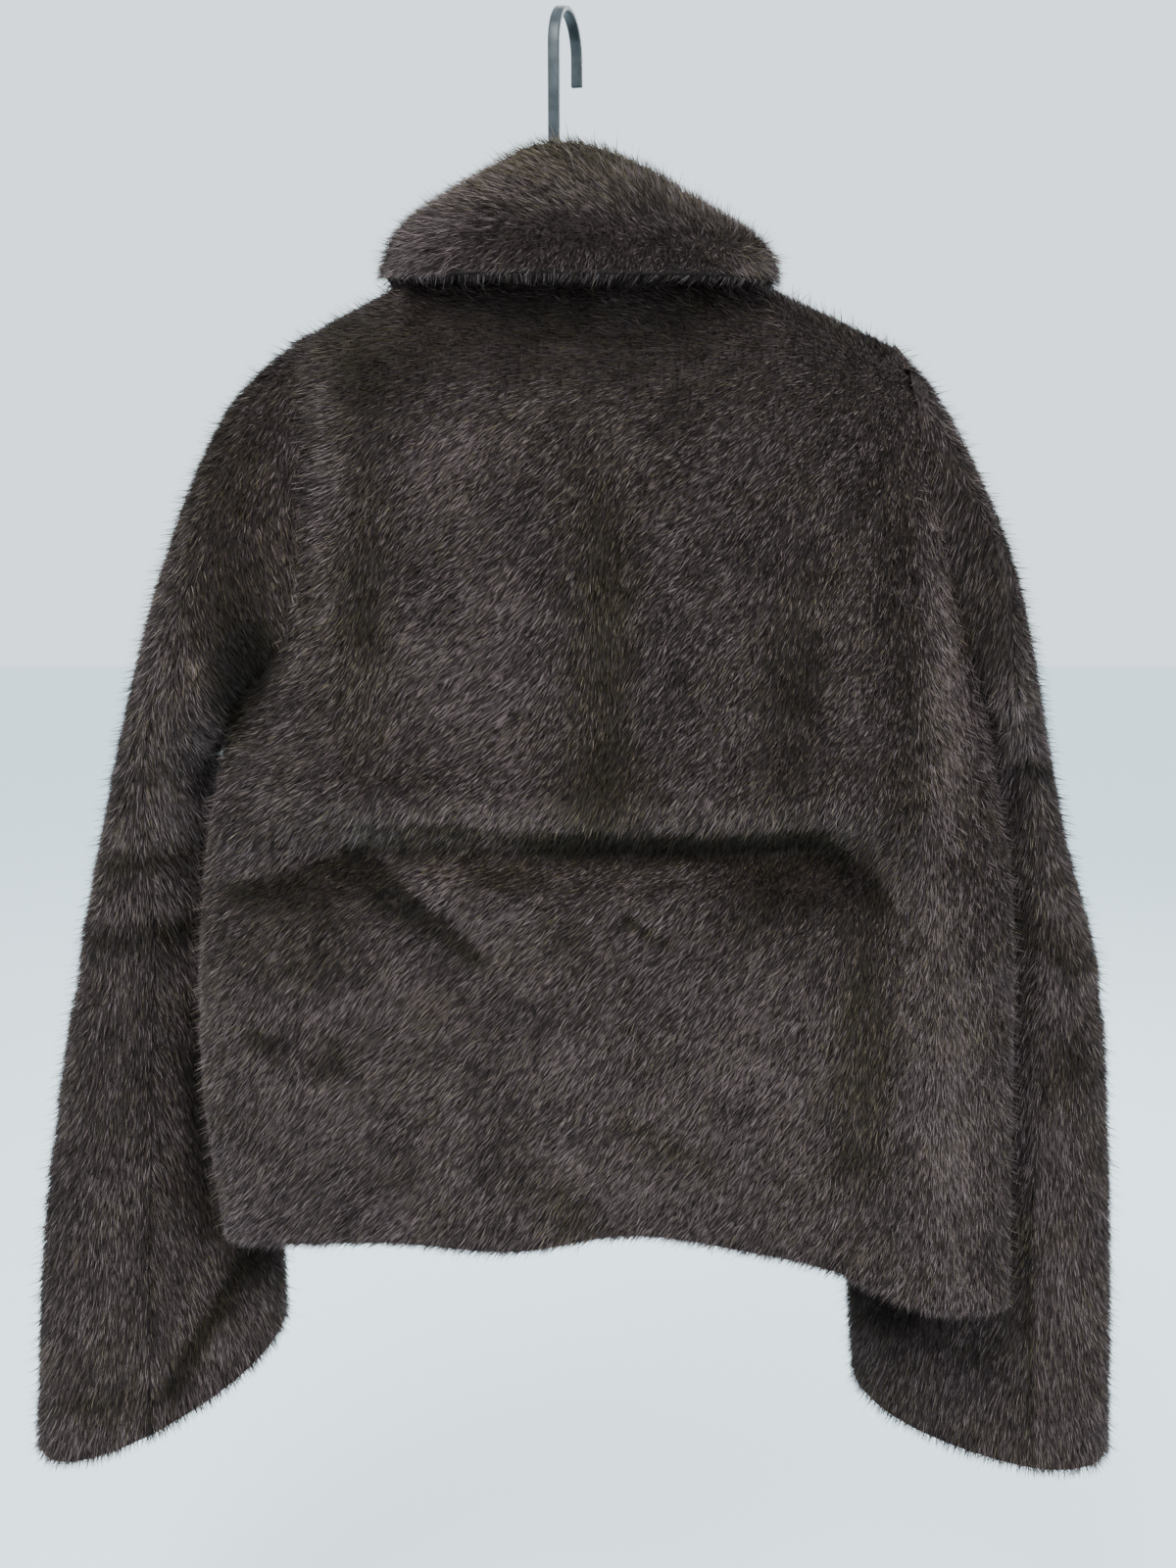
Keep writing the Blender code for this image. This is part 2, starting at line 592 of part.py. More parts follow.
def armhole_loop(back, front, side):
    """The armhole's seam, up the back's edge from the underarm and down the front's."""
    column = BACK_EDGES[side][0]
    loop = np.concatenate([back[UNDERARM_ROW:, column], front[-2:UNDERARM_ROW:-1, 0]])
    along = np.roll(loop, -1, 0) - np.roll(loop, 1, 0)
    axis = unit(np.cross(loop[ARMHOLE_ROWS] - loop[0], (0.0, 1.0, 0.0)))
    inward = unit(np.cross(along, axis))
    return loop, inward if inward[0, 2] > 0 else -inward


def match_walls(back, front, side, loop_inward):
    """Gives the back and a front one direction of the wall where they meet each other and the sleeve."""
    column = BACK_EDGES[side][0]
    back[UNDERARM_ROW:, column] = loop_inward[LOOP_BACK]
    front[UNDERARM_ROW:, 0] = loop_inward[LOOP_FRONT]
    shared = unit(back[:UNDERARM_ROW, column] + front[:UNDERARM_ROW, 0])
    back[:UNDERARM_ROW, column] = shared
    front[:UNDERARM_ROW, 0] = shared
    shared = unit(back[-1, BACK_SHOULDERS[side]] + front[-1, FRONT_SHOULDER])
    shared[0] = loop_inward[ARMHOLE_ROWS]
    back[-1, BACK_SHOULDERS[side]] = shared
    front[-1, FRONT_SHOULDER] = shared


def neck_values(grids):
    """What three grids hold along the neckline, from the left front's edge round the back to the right's."""
    return np.concatenate([
        grids["front_left"][-1, NECK_FRONTS["left"]],
        grids["back"][-1, NECK_BACK],
        grids["front_right"][-1, NECK_FRONTS["right"]],
    ])


def match_neck(inward, neck_inward):
    """Gives the back and the fronts the neckline's direction of the wall."""
    inward["back"][-1, NECK_BACK] = neck_inward[NECK_COUNT:-NECK_COUNT]
    inward["front_left"][-1, NECK_FRONTS["left"]] = neck_inward[:NECK_COUNT]
    inward["front_right"][-1, NECK_FRONTS["right"]] = neck_inward[-NECK_COUNT:]
    inward["front_left"][-1, SHOULDER_COLUMNS] = neck_inward[NECK_COUNT]
    inward["front_right"][-1, SHOULDER_COLUMNS] = neck_inward[-NECK_COUNT - 1]


def open_neck(panels, neckline, neck_inward):
    """Draws the collar and the three panels back from the neckline's seam."""
    across = across_seam(neckline, neck_inward)
    draw_back(panels["collar"], np.s_[0, :], np.s_[1, :], across)
    draw_back(panels["back"], np.s_[-1, NECK_BACK], np.s_[-2, NECK_BACK], across[NECK_COUNT:-NECK_COUNT])
    for side, part in (("left", across[:NECK_COUNT]), ("right", across[-NECK_COUNT:])):
        chosen = NECK_FRONTS[side]
        draw_back(panels["front_" + side], np.s_[-1, chosen], np.s_[-2, chosen], part)


def open_side(back, front, side, loop, loop_inward):
    """Draws the back and a front back from their side seam, shoulder seam and armhole."""
    column, beside = BACK_EDGES[side]
    low, high = slice(0, UNDERARM_ROW + 1), slice(UNDERARM_ROW, None)
    across = across_seam(back["face"][low, column], back["inward"][low, column])
    draw_back(back, np.s_[low, column], np.s_[low, beside], across)
    draw_back(front, np.s_[low, 0], np.s_[low, 1], across)
    chosen = BACK_SHOULDERS[side]
    across = across_seam(back["face"][-1, chosen], back["inward"][-1, chosen])
    draw_back(back, np.s_[-1, chosen], np.s_[-2, chosen], across)
    draw_back(front, np.s_[-1, FRONT_SHOULDER], np.s_[-2, FRONT_SHOULDER], across)
    across = across_seam(loop, loop_inward, closed=True)
    draw_back(back, np.s_[high, column], np.s_[high, beside], across[LOOP_BACK])
    draw_back(front, np.s_[high, 0], np.s_[high, 1], across[LOOP_FRONT])


def cut_sleeve(side, loop, loop_inward):
    """The sleeve's rings, cut along its two seams into the upper and the under piece."""
    rings = sleeve_grid(side, loop)
    inward = pointing_to(rings.mean(axis=1, keepdims=True), rings, inward_of(rings, closed=True))
    inward[0] = loop_inward
    whole = panel_of(rings, inward)
    draw_back(whole, np.s_[0, :], np.s_[1, :], across_seam(loop, loop_inward, closed=True))
    columns = len(loop)
    first, second = (round(turn * columns) for turn in SLEEVE_SEAMS[side])
    pieces = {}
    for piece, start, end in (("upper", first, second), ("under", second, first + columns)):
        chosen = np.arange(start, end + 1) % columns
        cut = {key: value[:, chosen].copy() for key, value in whole.items()}
        for edge, beside in ((0, 1), (-1, -2)):
            across = across_seam(cut["face"][:, edge], cut["inward"][:, edge])
            draw_back(cut, np.s_[:, edge], np.s_[:, beside], across)
        pieces[f"sleeve_{side}_{piece}"] = cut
    return pieces


def jacket_panels():
    faces = {"back": back_grid(), "front_left": front_grid("left"), "front_right": front_grid("right")}
    inward = {name: pointing_to(BODY_MIDDLE, face, inward_of(face)) for name, face in faces.items()}
    loops = {}
    for side in ("left", "right"):
        loops[side] = armhole_loop(faces["back"], faces["front_" + side], side)
        match_walls(inward["back"], inward["front_" + side], side, loops[side][1])

    neckline = neck_values(faces)
    outward = unit((neckline - NECK_MIDDLE) * NECK_FACING)
    neck_inward = unit(neck_values(inward) - outward)
    match_neck(inward, neck_inward)
    collar = collar_grid(neckline, outward)
    collar_inward = inward_of(collar)
    if np.sum(collar_inward[:COLLAR_STAND_ROWS] * outward) > 0:
        collar_inward = -collar_inward
    collar_inward[0] = neck_inward

    panels = {name: panel_of(face, inward[name]) for name, face in faces.items()}
    panels["collar"] = panel_of(collar, collar_inward)
    open_neck(panels, neckline, neck_inward)
    for side, (loop, loop_inward) in loops.items():
        open_side(panels["back"], panels["front_" + side], side, loop, loop_inward)
        panels.update(cut_sleeve(side, loop, loop_inward))
    return panels


def build():
    for old in list(bpy.data.objects):
        bpy.data.objects.remove(old, do_unlink=True)
    collection = bpy.data.collections.new("plush_jacket")
    bpy.context.scene.collection.children.link(collection)
    for name, panel in jacket_panels().items():
        add_wall(collection, name, panel)
    add_hook(collection)
    add_arms(collection)


build()
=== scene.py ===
"""A short plush jacket on a hanger, seen from its back.

The solids give the cut pieces their walls. Here each wall becomes knitted backing with its
creases, pile stands on it, and the hanger's bar gets its coating.
"""

import math

import bmesh
import bpy
import numpy as np
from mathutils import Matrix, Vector
from mathutils.bvhtree import BVHTree
from mathutils.kdtree import KDTree


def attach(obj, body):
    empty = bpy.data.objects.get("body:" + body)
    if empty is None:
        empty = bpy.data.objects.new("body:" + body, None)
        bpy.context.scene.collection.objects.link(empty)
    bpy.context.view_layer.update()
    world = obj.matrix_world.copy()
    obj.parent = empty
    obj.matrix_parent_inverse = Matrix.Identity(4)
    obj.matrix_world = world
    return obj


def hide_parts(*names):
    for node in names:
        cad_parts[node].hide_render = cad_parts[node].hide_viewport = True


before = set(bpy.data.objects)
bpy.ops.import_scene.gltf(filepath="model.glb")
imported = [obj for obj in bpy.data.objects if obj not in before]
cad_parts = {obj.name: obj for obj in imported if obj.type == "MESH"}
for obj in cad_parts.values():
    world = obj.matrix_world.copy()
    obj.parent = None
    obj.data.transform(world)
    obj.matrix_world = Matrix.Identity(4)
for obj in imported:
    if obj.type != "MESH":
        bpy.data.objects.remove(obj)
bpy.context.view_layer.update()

# ---------------------------------------------------------------- view, light and floor
# The jacket is looked at from its back, from level with the shoulders and a little down. Soft
# light comes from above on both sides and from behind it, and a pale room fills the shadows.

CAMERA_PLACE = (0.0115, -0.92, -0.24)
CAMERA_DOWN = math.radians(9.8)
SENSOR_HEIGHT = 36.0
CAMERA_LENS = 39.0
JACKET_MIDDLE = Vector((0.0, 0.0, -0.4))
FLOOR_LEVEL = -1.05
FLOOR_SIZE = 14.0

camera_data = bpy.data.cameras.new("camera")
camera_data.sensor_fit = "VERTICAL"
camera_data.sensor_height = SENSOR_HEIGHT
camera_data.lens = CAMERA_LENS
camera = bpy.data.objects.new("camera", camera_data)
camera.location = CAMERA_PLACE
camera.rotation_euler = (math.pi / 2 - CAMERA_DOWN, 0.0, 0.0)
bpy.context.scene.collection.objects.link(camera)
bpy.context.scene.camera = camera


def soft_light(name, place, size, watts, colour):
    """A square panel of light turned to the middle of the jacket."""
    data = bpy.data.lights.new(name, "AREA")
    data.shape = "SQUARE"
    data.size = size
    data.energy = watts
    data.color = colour
    light = bpy.data.objects.new(name, data)
    light.location = place
    light.rotation_euler = (Vector(place) - JACKET_MIDDLE).to_track_quat("Z", "Y").to_euler()
    bpy.context.scene.collection.objects.link(light)


def new_material(name):
    """A new material, its node tree and its shader."""
    made = bpy.data.materials.new(name)
    made.use_nodes = True
    return made, made.node_tree, made.node_tree.nodes["Principled BSDF"]


soft_light("key", (-0.6, -1.3, 1.1), 0.9, 50.0, (1.0, 0.985, 0.96))
soft_light("fill", (1.5, -1.0, 0.4), 1.2, 22.0, (0.95, 0.98, 1.0))
soft_light("behind", (0.5, 1.5, 0.8), 1.1, 34.0, (0.98, 0.99, 1.0))

world = bpy.data.worlds.new("pale_room")
world.use_nodes = True
world.node_tree.nodes["Background"].inputs["Color"].default_value = (0.80, 0.93, 1.0, 1.0)
world.node_tree.nodes["Background"].inputs["Strength"].default_value = 1.9
bpy.context.scene.world = world

bpy.ops.mesh.primitive_plane_add(size=FLOOR_SIZE, location=(0.0, 0.0, FLOOR_LEVEL))
floor = bpy.context.active_object
floor.name = "floor"
floor.data.transform(floor.matrix_world)
floor.matrix_world.identity()
floor_paint, _, floor_shader = new_material("pale_floor")
floor_shader.inputs["Base Color"].default_value = (0.78, 0.88, 0.92, 1.0)
floor_shader.inputs["Roughness"].default_value = 0.8
floor.data.materials.append(floor_paint)

# ---------------------------------------------------------------- the back
# One piece of plush from the hem to the shoulders: a dark knitted backing a few millimetres
# thick, with pile 7 mm long that is brushed down and to the left. It bends sharply at the waist.

PILE_DEPTH = 0.003  # how far the backing lies inside the cloth's outer face
SEAM_REACH = 0.0003  # how far each cut edge goes on to meet the next piece
SEAM_HOLD = 0.006  # this near a cut edge the cloth keeps to its seam
NECKLINE = (0.012, -0.128, 0.088, 0.022)  # middle and reaches of the seam that carries the collar
SAME_POINT = 0.00002  # corners of a solid's triangles this near each other are one point
CUT_EDGE_ANGLE = math.radians(62)  # most of a wall's faces meet its cut edges more sharply than this
RIM_ANGLE = math.radians(75)  # and no two faces on one side meet more sharply than this
SKIN = 0.0005  # a look through the wall starts this far under its face
THICKEST = 0.012  # and goes on as far as this
TWIN_FACING = -0.85  # two faces that lie back to back on a wall face apart at least this much
TO_CORNER = 0.6  # each face is also looked through this far from its middle to its corners
PILE_SIDE, INNER_SIDE, CUT_EDGE = 0, 1, 2
SHARE = 1.0


def table(names, *rows):
    """Rows of numbers as one array for each named column."""
    return dict(zip(names.split(), np.array(rows, float).T))


def unit(vectors):
    return vectors / np.maximum(np.linalg.norm(vectors, axis=-1, keepdims=True), 1e-9)


def copy_of_solid(node, name):
    """A copy of one solid, with its triangles joined to quads."""
    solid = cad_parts[node]
    bpy.ops.object.select_all(action="DESELECT")
    solid.select_set(True)
    bpy.context.view_layer.objects.active = solid
    bpy.ops.object.duplicate()
    piece = bpy.context.active_object
    piece.parent = None
    piece.name = name
    piece.data.name = name
    for key in list(piece.keys()):
        del piece[key]
    piece.data.materials.clear()
    bpy.ops.object.mode_set(mode="EDIT")
    bpy.ops.mesh.select_all(action="SELECT")
    bpy.ops.mesh.remove_doubles(threshold=SAME_POINT)
    bpy.ops.mesh.tris_convert_to_quads()
    bpy.ops.object.mode_set(mode="OBJECT")
    return piece


def has_twin(solid, face):
    """Whether a face turned the other way lies right behind this one, through the wall."""
    centre = face.calc_center_median()
    for aim in [centre] + [centre.lerp(corner.co, TO_CORNER) for corner in face.verts]:
        start = aim - face.normal * SKIN
        _, normal, _, _ = solid.ray_cast(start, -face.normal, THICKEST)
        if normal and normal.dot(face.normal) < TWIN_FACING:
            return True
    return False


def patches(faces, widest):
    """The faces in groups that hang together over edges less sharp than the widest angle."""
    left = set(faces)
    groups = []
    for start in faces:
        if start not in left:
            continue
        left.discard(start)
        waiting, group = [start], []
        while waiting:
            face = waiting.pop()
            group.append(face)
            for edge in face.edges:
                if edge.calc_face_angle(math.pi) >= widest:
                    continue
                for other in edge.link_faces:
                    if other in left:
                        left.discard(other)
                        waiting.append(other)
        groups.append(group)
    return groups


def mark_sides(piece):
    """Marks each face of a wall as lying on its pile side, its inner side or a cut edge.

    A face on one of the two sides has a twin. A cut edge runs between the sides, so a patch that
    meets only one of them is part of it. The lines between are creased, so that they stay put.
    """
    mesh = bmesh.new()
    mesh.from_mesh(piece.data)
    solid = BVHTree.FromBMesh(mesh)
    side = mesh.faces.layers.int.new("side")
    crease = mesh.edges.layers.float.get("crease_edge") or mesh.edges.layers.float.new("crease_edge")
    for face in mesh.faces:
        face[side] = CUT_EDGE
    sheets = patches([face for face in mesh.faces if has_twin(solid, face)], RIM_ANGLE)
    sheets.sort(key=lambda sheet: -sum(face.calc_area() for face in sheet))
    for which, sheet in zip((PILE_SIDE, INNER_SIDE), sheets):
        for face in sheet:
            face[side] = which
    for patch in patches([face for face in mesh.faces if face[side] == CUT_EDGE], 2 * math.pi):
        beside = {other[side] for face in patch for edge in face.edges for other in edge.link_faces}
        beside.discard(CUT_EDGE)
        if len(beside) == 1:
            around = beside.pop()
            for face in patch:
                face[side] = around
    for edge in mesh.edges:
        if len({face[side] for face in edge.link_faces}) > 1:
            edge[crease] = 1.0
    mesh.to_mesh(piece.data)
    mesh.free()


def copy_of_wall(node, name, levels):
    """A copy of a cut piece's solid, smoothed between its cut edges."""
    piece = copy_of_solid(node, name)
    bpy.ops.object.mode_set(mode="EDIT")
    bpy.ops.mesh.select_all(action="DESELECT")
    bpy.ops.mesh.select_mode(type="EDGE")
    bpy.ops.mesh.edges_select_sharp(sharpness=CUT_EDGE_ANGLE)
    bpy.ops.transform.edge_crease(value=1.0)
    bpy.ops.mesh.select_mode(type="VERT")
    bpy.ops.object.mode_set(mode="OBJECT")
    mark_sides(piece)
    smoothing = piece.modifiers.new("smoothing", "SUBSURF")
    smoothing.levels = levels
    smoothing.render_levels = levels
    bpy.ops.object.modifier_apply(modifier="smoothing")
    return piece


def read_mesh(piece):
    """A mesh's points, its triangles and the side that each triangle lies on."""
    mesh = piece.data
    mesh.calc_loop_triangles()
    points = np.empty(len(mesh.vertices) * 3)
    mesh.vertices.foreach_get("co", points)
    corners = np.empty(len(mesh.loop_triangles) * 3, np.int32)
    mesh.loop_triangles.foreach_get("vertices", corners)
    owner = np.empty(len(mesh.loop_triangles), np.int32)
    mesh.loop_triangles.foreach_get("polygon_index", owner)
    side = np.empty(len(mesh.polygons), np.int32)
    mesh.attributes["side"].data.foreach_get("value", side)
    return points.reshape(-1, 3), corners.reshape(-1, 3), side[owner]


def squares_of(points, corners):
    """Each triangle's normal, as long as twice its area."""
    first, second, third = (points[corners[:, place]] for place in range(3))
    return np.cross(second - first, third - first)


def normals_of(points, corners):
    """Each point's normal, from the triangles given."""
    squares = squares_of(points, corners)
    total = np.zeros_like(points)
    for place in range(3):
        np.add.at(total, corners[:, place], squares)
    return unit(total)


def neckline(points):
    """1 at the neck seam, where the back meets the collar's stand, and 0 away from it."""
    x, z, reach_x, reach_z = NECKLINE
    return np.exp(-(((points[:, 0] - x) / reach_x) ** 4) - ((points[:, 2] - z) / reach_z) ** 4)


def nearest(points, others):
    """For each point, which of the others is nearest and how far off it is."""
    tree = KDTree(len(others))
    for place, other in enumerate(others):
        tree.insert(other, place)
    tree.balance()
    found = [tree.find(point) for point in points]
    return np.array([place for _, place, _ in found]), np.array([gap for _, _, gap in found])


# A crease is a line in the X-Z plane: deep is its depth, half its half width, and swell the height
# of the ridge above it against its depth. side is 1 on the back, -1 on the front and 0 all round.
CREASE_COLUMNS = "x0 z0 x1 z1 deep half swell side"
CREASE_END = 1.5  # half widths over which a crease fades past its ends
RIDGE_PLACE = 1.9  # half widths from a trough's middle to its ridge
RIDGE_WIDTH = 1.2  # half widths that the ridge is wide
SIDE_ONSET = 1.5  # how soon a crease sets in where the cloth turns to its side


def crease_depth(points, facing, creases):
    """How far the cloth is pressed in at its creases; less than nothing where it swells."""
    depth = np.zeros(len(points))
    for x0, z0, x1, z1, deep, half, swell, side in zip(*creases.values()):
        run = np.array([x1 - x0, z1 - z0])
        length = np.hypot(*run)
        along = ((points[:, 0] - x0) * run[0] + (points[:, 2] - z0) * run[1]) / length
        above = ((points[:, 2] - z0) * run[0] - (points[:, 0] - x0) * run[1]) / length
        past = np.maximum(np.maximum(-along, along - length), 0.0)
        shown = np.clip(SIDE_ONSET * facing * side, 0.0, 1.0) if side else 1.0
        fade = np.exp(-((past / (CREASE_END * half)) ** 2)) * shown
        trough = np.exp(-((above / half) ** 2))
        ridge = np.exp(-(((above / half - RIDGE_PLACE) / RIDGE_WIDTH) ** 2))
        depth += deep * fade * (trough - swell * ridge)
    return depth


SPREADING_ROUNDS = 12  # how often the moves on the two sides are spread over the cut edges


def set_in(piece, creases):
    """Lays the backing inside the cloth's face, presses its creases in and closes its seams.

    At a cut edge it moves straight through the wall, as the piece that is sewn there does too.
    """
    points, corners, side = read_mesh(piece)
    moved = np.zeros_like(points)
    known = np.zeros(len(points), bool)
    cut = corners[side == CUT_EDGE]
    rims = [np.intersect1d(corners[side == which], cut) for which in (PILE_SIDE, INNER_SIDE)]
    across, _ = nearest(points[rims[PILE_SIDE]], points[rims[INNER_SIDE]])
    through = unit(points[rims[INNER_SIDE]][across] - points[rims[PILE_SIDE]])
    for which, sense in ((INNER_SIDE, 1.0), (PILE_SIDE, -1.0)):
        chosen = corners[side == which]
        normals = normals_of(points, chosen)
        touched = np.unique(chosen)
        at_rim, gap = nearest(points[touched], points[rims[which]])
        held = np.exp(-((gap / SEAM_HOLD) ** 2))[:, None]
        facing = -sense * normals[touched, 1]
        pressed = crease_depth(points[touched], facing, creases)[:, None] * (1.0 - held)
        inward = sense * normals[touched]
        moved[touched] = inward * pressed
        if which == PILE_SIDE:
            depth = PILE_DEPTH * (1.0 - neckline(points[touched]))[:, None]
            moved[touched] += depth * unit(inward * (1.0 - held) + through[at_rim] * held)
        known[touched] = True
    edges = np.empty(len(piece.data.edges) * 2, np.int32)
    piece.data.edges.foreach_get("vertices", edges)
    edges = edges.reshape(-1, 2)
    for _ in range(SPREADING_ROUNDS):
        total, count = np.zeros_like(points), np.zeros(len(points))
        for one, other in ((0, 1), (1, 0)):
            np.add.at(total, edges[:, one], moved[edges[:, other]])
            np.add.at(count, edges[:, one], 1.0)
        mean = total / np.maximum(count, 1.0)[:, None]
        moved[~known] = mean[~known]
    to_neighbour = np.zeros_like(points)
    to_neighbour[np.unique(cut)] = SEAM_REACH * normals_of(points, cut)[np.unique(cut)]
    piece.data.vertices.foreach_set("co", (points + moved + to_neighbour).ravel())
    piece.data.update()
    piece.data.shade_smooth()
    piece.data.set_sharp_from_angle(angle=CUT_EDGE_ANGLE)
    sides = np.empty(len(piece.data.polygons), np.int32)
    piece.data.attributes["side"].data.foreach_get("value", sides)
    inner = piece.data.attributes.new("inner_side", "FLOAT", "FACE")
    inner.data.foreach_set("value", (sides == INNER_SIDE).astype(float))


def fill_ramp(node, *stops):
    """Gives a colour ramp its stops, each a place and a colour."""
    elements = node.color_ramp.elements
    while len(elements) < len(stops):
        elements.new(0.5)
    for element, (place, red, green, blue) in zip(elements, stops):
        element.position = place
        element.color = (red, green, blue, 1.0)


def backing_material():
    """Dark knit: short underfur shows on the pile side, and fine stocking stitch on the inner side."""
    made, tree, shader = new_material("knitted_backing")
    shader.inputs["Roughness"].default_value = 0.9
    shader.inputs["Specular IOR Level"].default_value = 0.05
    place = tree.nodes.new("ShaderNodeTexCoord")
    streaks = tree.nodes.new("ShaderNodeMapping")
    streaks.inputs["Scale"].default_value = (900.0, 900.0, 160.0)
    streaks.inputs["Rotation"].default_value = (0.0, math.radians(45.0), 0.0)
    fur_noise = tree.nodes.new("ShaderNodeTexNoise")
    fur_noise.inputs["Scale"].default_value = 1.0
    fur_noise.inputs["Detail"].default_value = 2.0
    fur_colour = tree.nodes.new("ShaderNodeValToRGB")
    fill_ramp(fur_colour, (0.35, 0.007, 0.005, 0.005), (0.70, 0.038, 0.028, 0.026))
    stitches = tree.nodes.new("ShaderNodeTexWave")
    stitches.bands_direction = "X"
    stitches.inputs["Scale"].default_value = 190.0
    stitches.inputs["Distortion"].default_value = 1.5
    stitches.inputs["Detail Scale"].default_value = 90.0
    knit_colour = tree.nodes.new("ShaderNodeValToRGB")
    fill_ramp(knit_colour, (0.0, 0.014, 0.010, 0.009), (1.0, 0.040, 0.030, 0.027))
    inner = tree.nodes.new("ShaderNodeAttribute")
    inner.attribute_name = "inner_side"
    mixed = tree.nodes.new("ShaderNodeMix")
    mixed.data_type = "RGBA"
    bump = tree.nodes.new("ShaderNodeBump")
    bump.inputs["Strength"].default_value = 0.5
    bump.inputs["Distance"].default_value = 0.0006
    join = tree.links.new
    join(place.outputs["Object"], streaks.inputs["Vector"])
    join(streaks.outputs["Vector"], fur_noise.inputs["Vector"])
    join(fur_noise.outputs["Fac"], fur_colour.inputs["Fac"])
    join(place.outputs["Object"], stitches.inputs["Vector"])
    join(stitches.outputs["Fac"], knit_colour.inputs["Fac"])
    join(inner.outputs["Fac"], mixed.inputs["Factor"])
    join(fur_colour.outputs["Color"], mixed.inputs["A"])
    join(knit_colour.outputs["Color"], mixed.inputs["B"])
    join(mixed.outputs["Result"], shader.inputs["Base Color"])
    join(fur_noise.outputs["Fac"], bump.inputs["Height"])
    join(bump.outputs["Normal"], shader.inputs["Normal"])
    return made


# Pile colours from dark to light hairs: the grey purple of most of the cloth, and the olive brown
# that shows where the nap turns. A hair's U picks its colour and its V runs from root to tip.
PILE_COLOURS = table(
    "u red green blue",
    (0.00, 0.006, 0.004, 0.0035),
    (0.17, 0.028, 0.0185, 0.0180),
    (0.34, 0.090, 0.062, 0.060),
    (0.49, 0.320, 0.245, 0.242),
    (0.51, 0.006, 0.004, 0.002),
    (0.68, 0.028, 0.021, 0.010),
    (0.84, 0.088, 0.069, 0.039),
    (1.00, 0.280, 0.228, 0.150),
)
ROOT_TO_TIP = table("v shade", (0.0, 0.22), (0.45, 0.80), (0.85, 1.15), (1.0, 1.35))
GREY_SPAN = 0.485  # the grey purple colours run from U = 0 to here
OLIVE_START = 0.515  # the olive brown ones start here
OLIVE_SPAN = 0.475  # and run on so far
ROOT_V, TIP_V = 0.02, 0.98
ROOT_HALF_U = 0.003  # half a root's width in the map


def pile_material():
    """One hair's colour over its own map: dark at the root, paler at the tip."""
    made, tree, shader = new_material("plush_pile_hair")
    shader.inputs["Roughness"].default_value = 0.45
    shader.inputs["Specular IOR Level"].default_value = 0.12
    own_map = tree.nodes.new("ShaderNodeUVMap")
    own_map.uv_map = "OFBake"
    split = tree.nodes.new("ShaderNodeSeparateXYZ")
    colour = tree.nodes.new("ShaderNodeValToRGB")
    fill_ramp(colour, *zip(*PILE_COLOURS.values()))
    shade = tree.nodes.new("ShaderNodeValToRGB")
    greys = ROOT_TO_TIP["shade"] / ROOT_TO_TIP["shade"].max()
    fill_ramp(shade, *zip(ROOT_TO_TIP["v"], greys, greys, greys))
    joined = tree.nodes.new("ShaderNodeMix")
    joined.data_type = "RGBA"
    joined.blend_type = "MULTIPLY"
    joined.inputs["Factor"].default_value = 1.0
    join = tree.links.new
    join(own_map.outputs["UV"], split.inputs["Vector"])
    join(split.outputs["X"], colour.inputs["Fac"])
    join(split.outputs["Y"], shade.inputs["Fac"])
    join(colour.outputs["Color"], joined.inputs["A"])
    join(shade.outputs["Color"], joined.inputs["B"])
    join(joined.outputs["Result"], shader.inputs["Base Color"])
    return made


knit = backing_material()
hair_paint = pile_material()

NOISE_VALUES = 4096
CELL_PRIMES = np.array((73856093, 19349663, 83492791))  # they mix a cell's three numbers into one
CELL_SHIFT = 512.0  # keeps every cell's numbers above nothing
CLOUDS = {  # soft patches in the pile: how strong they are, their size and their seed
    "turned": (11.0, 0.045, 11),
    "swirled": (10.0, 0.008, 12),
    "paler": (0.10, 0.030, 13),
    "mottled": (0.07, 0.012, 16),
    "speckled": (0.06, 0.005, 14),
    "browned": (0.18, 0.024, 15),
    "tufted": (0.30, 0.007, 5),
}


def soft_noise(points, size, seed):
    """Smooth random values from -1 to 1 that change over about one size."""
    values = np.random.default_rng(seed).uniform(-1.0, 1.0, NOISE_VALUES)
    cells = points / size + CELL_SHIFT
    low = np.floor(cells).astype(np.int64)
    step = cells - low
    step = step * step * (3.0 - 2.0 * step)
    total = np.zeros(len(points))
    for corner in range(8):
        bits = np.array([corner & 1, corner >> 1 & 1, corner >> 2 & 1])
        mixed = np.bitwise_xor.reduce((low + bits) * CELL_PRIMES, axis=1)
        total += values[mixed % NOISE_VALUES] * np.prod(np.where(bits == 1, step, 1.0 - step), axis=1)
    return total


def cloud(name, points):
    strength, size, seed = CLOUDS[name]
    return strength * soft_noise(points, size, seed)


HEM_LEVEL = -0.6  # the hem and the cuffs are lower than this
FACES_DOWN = -0.5  # and their cut edges' normals point down more than this


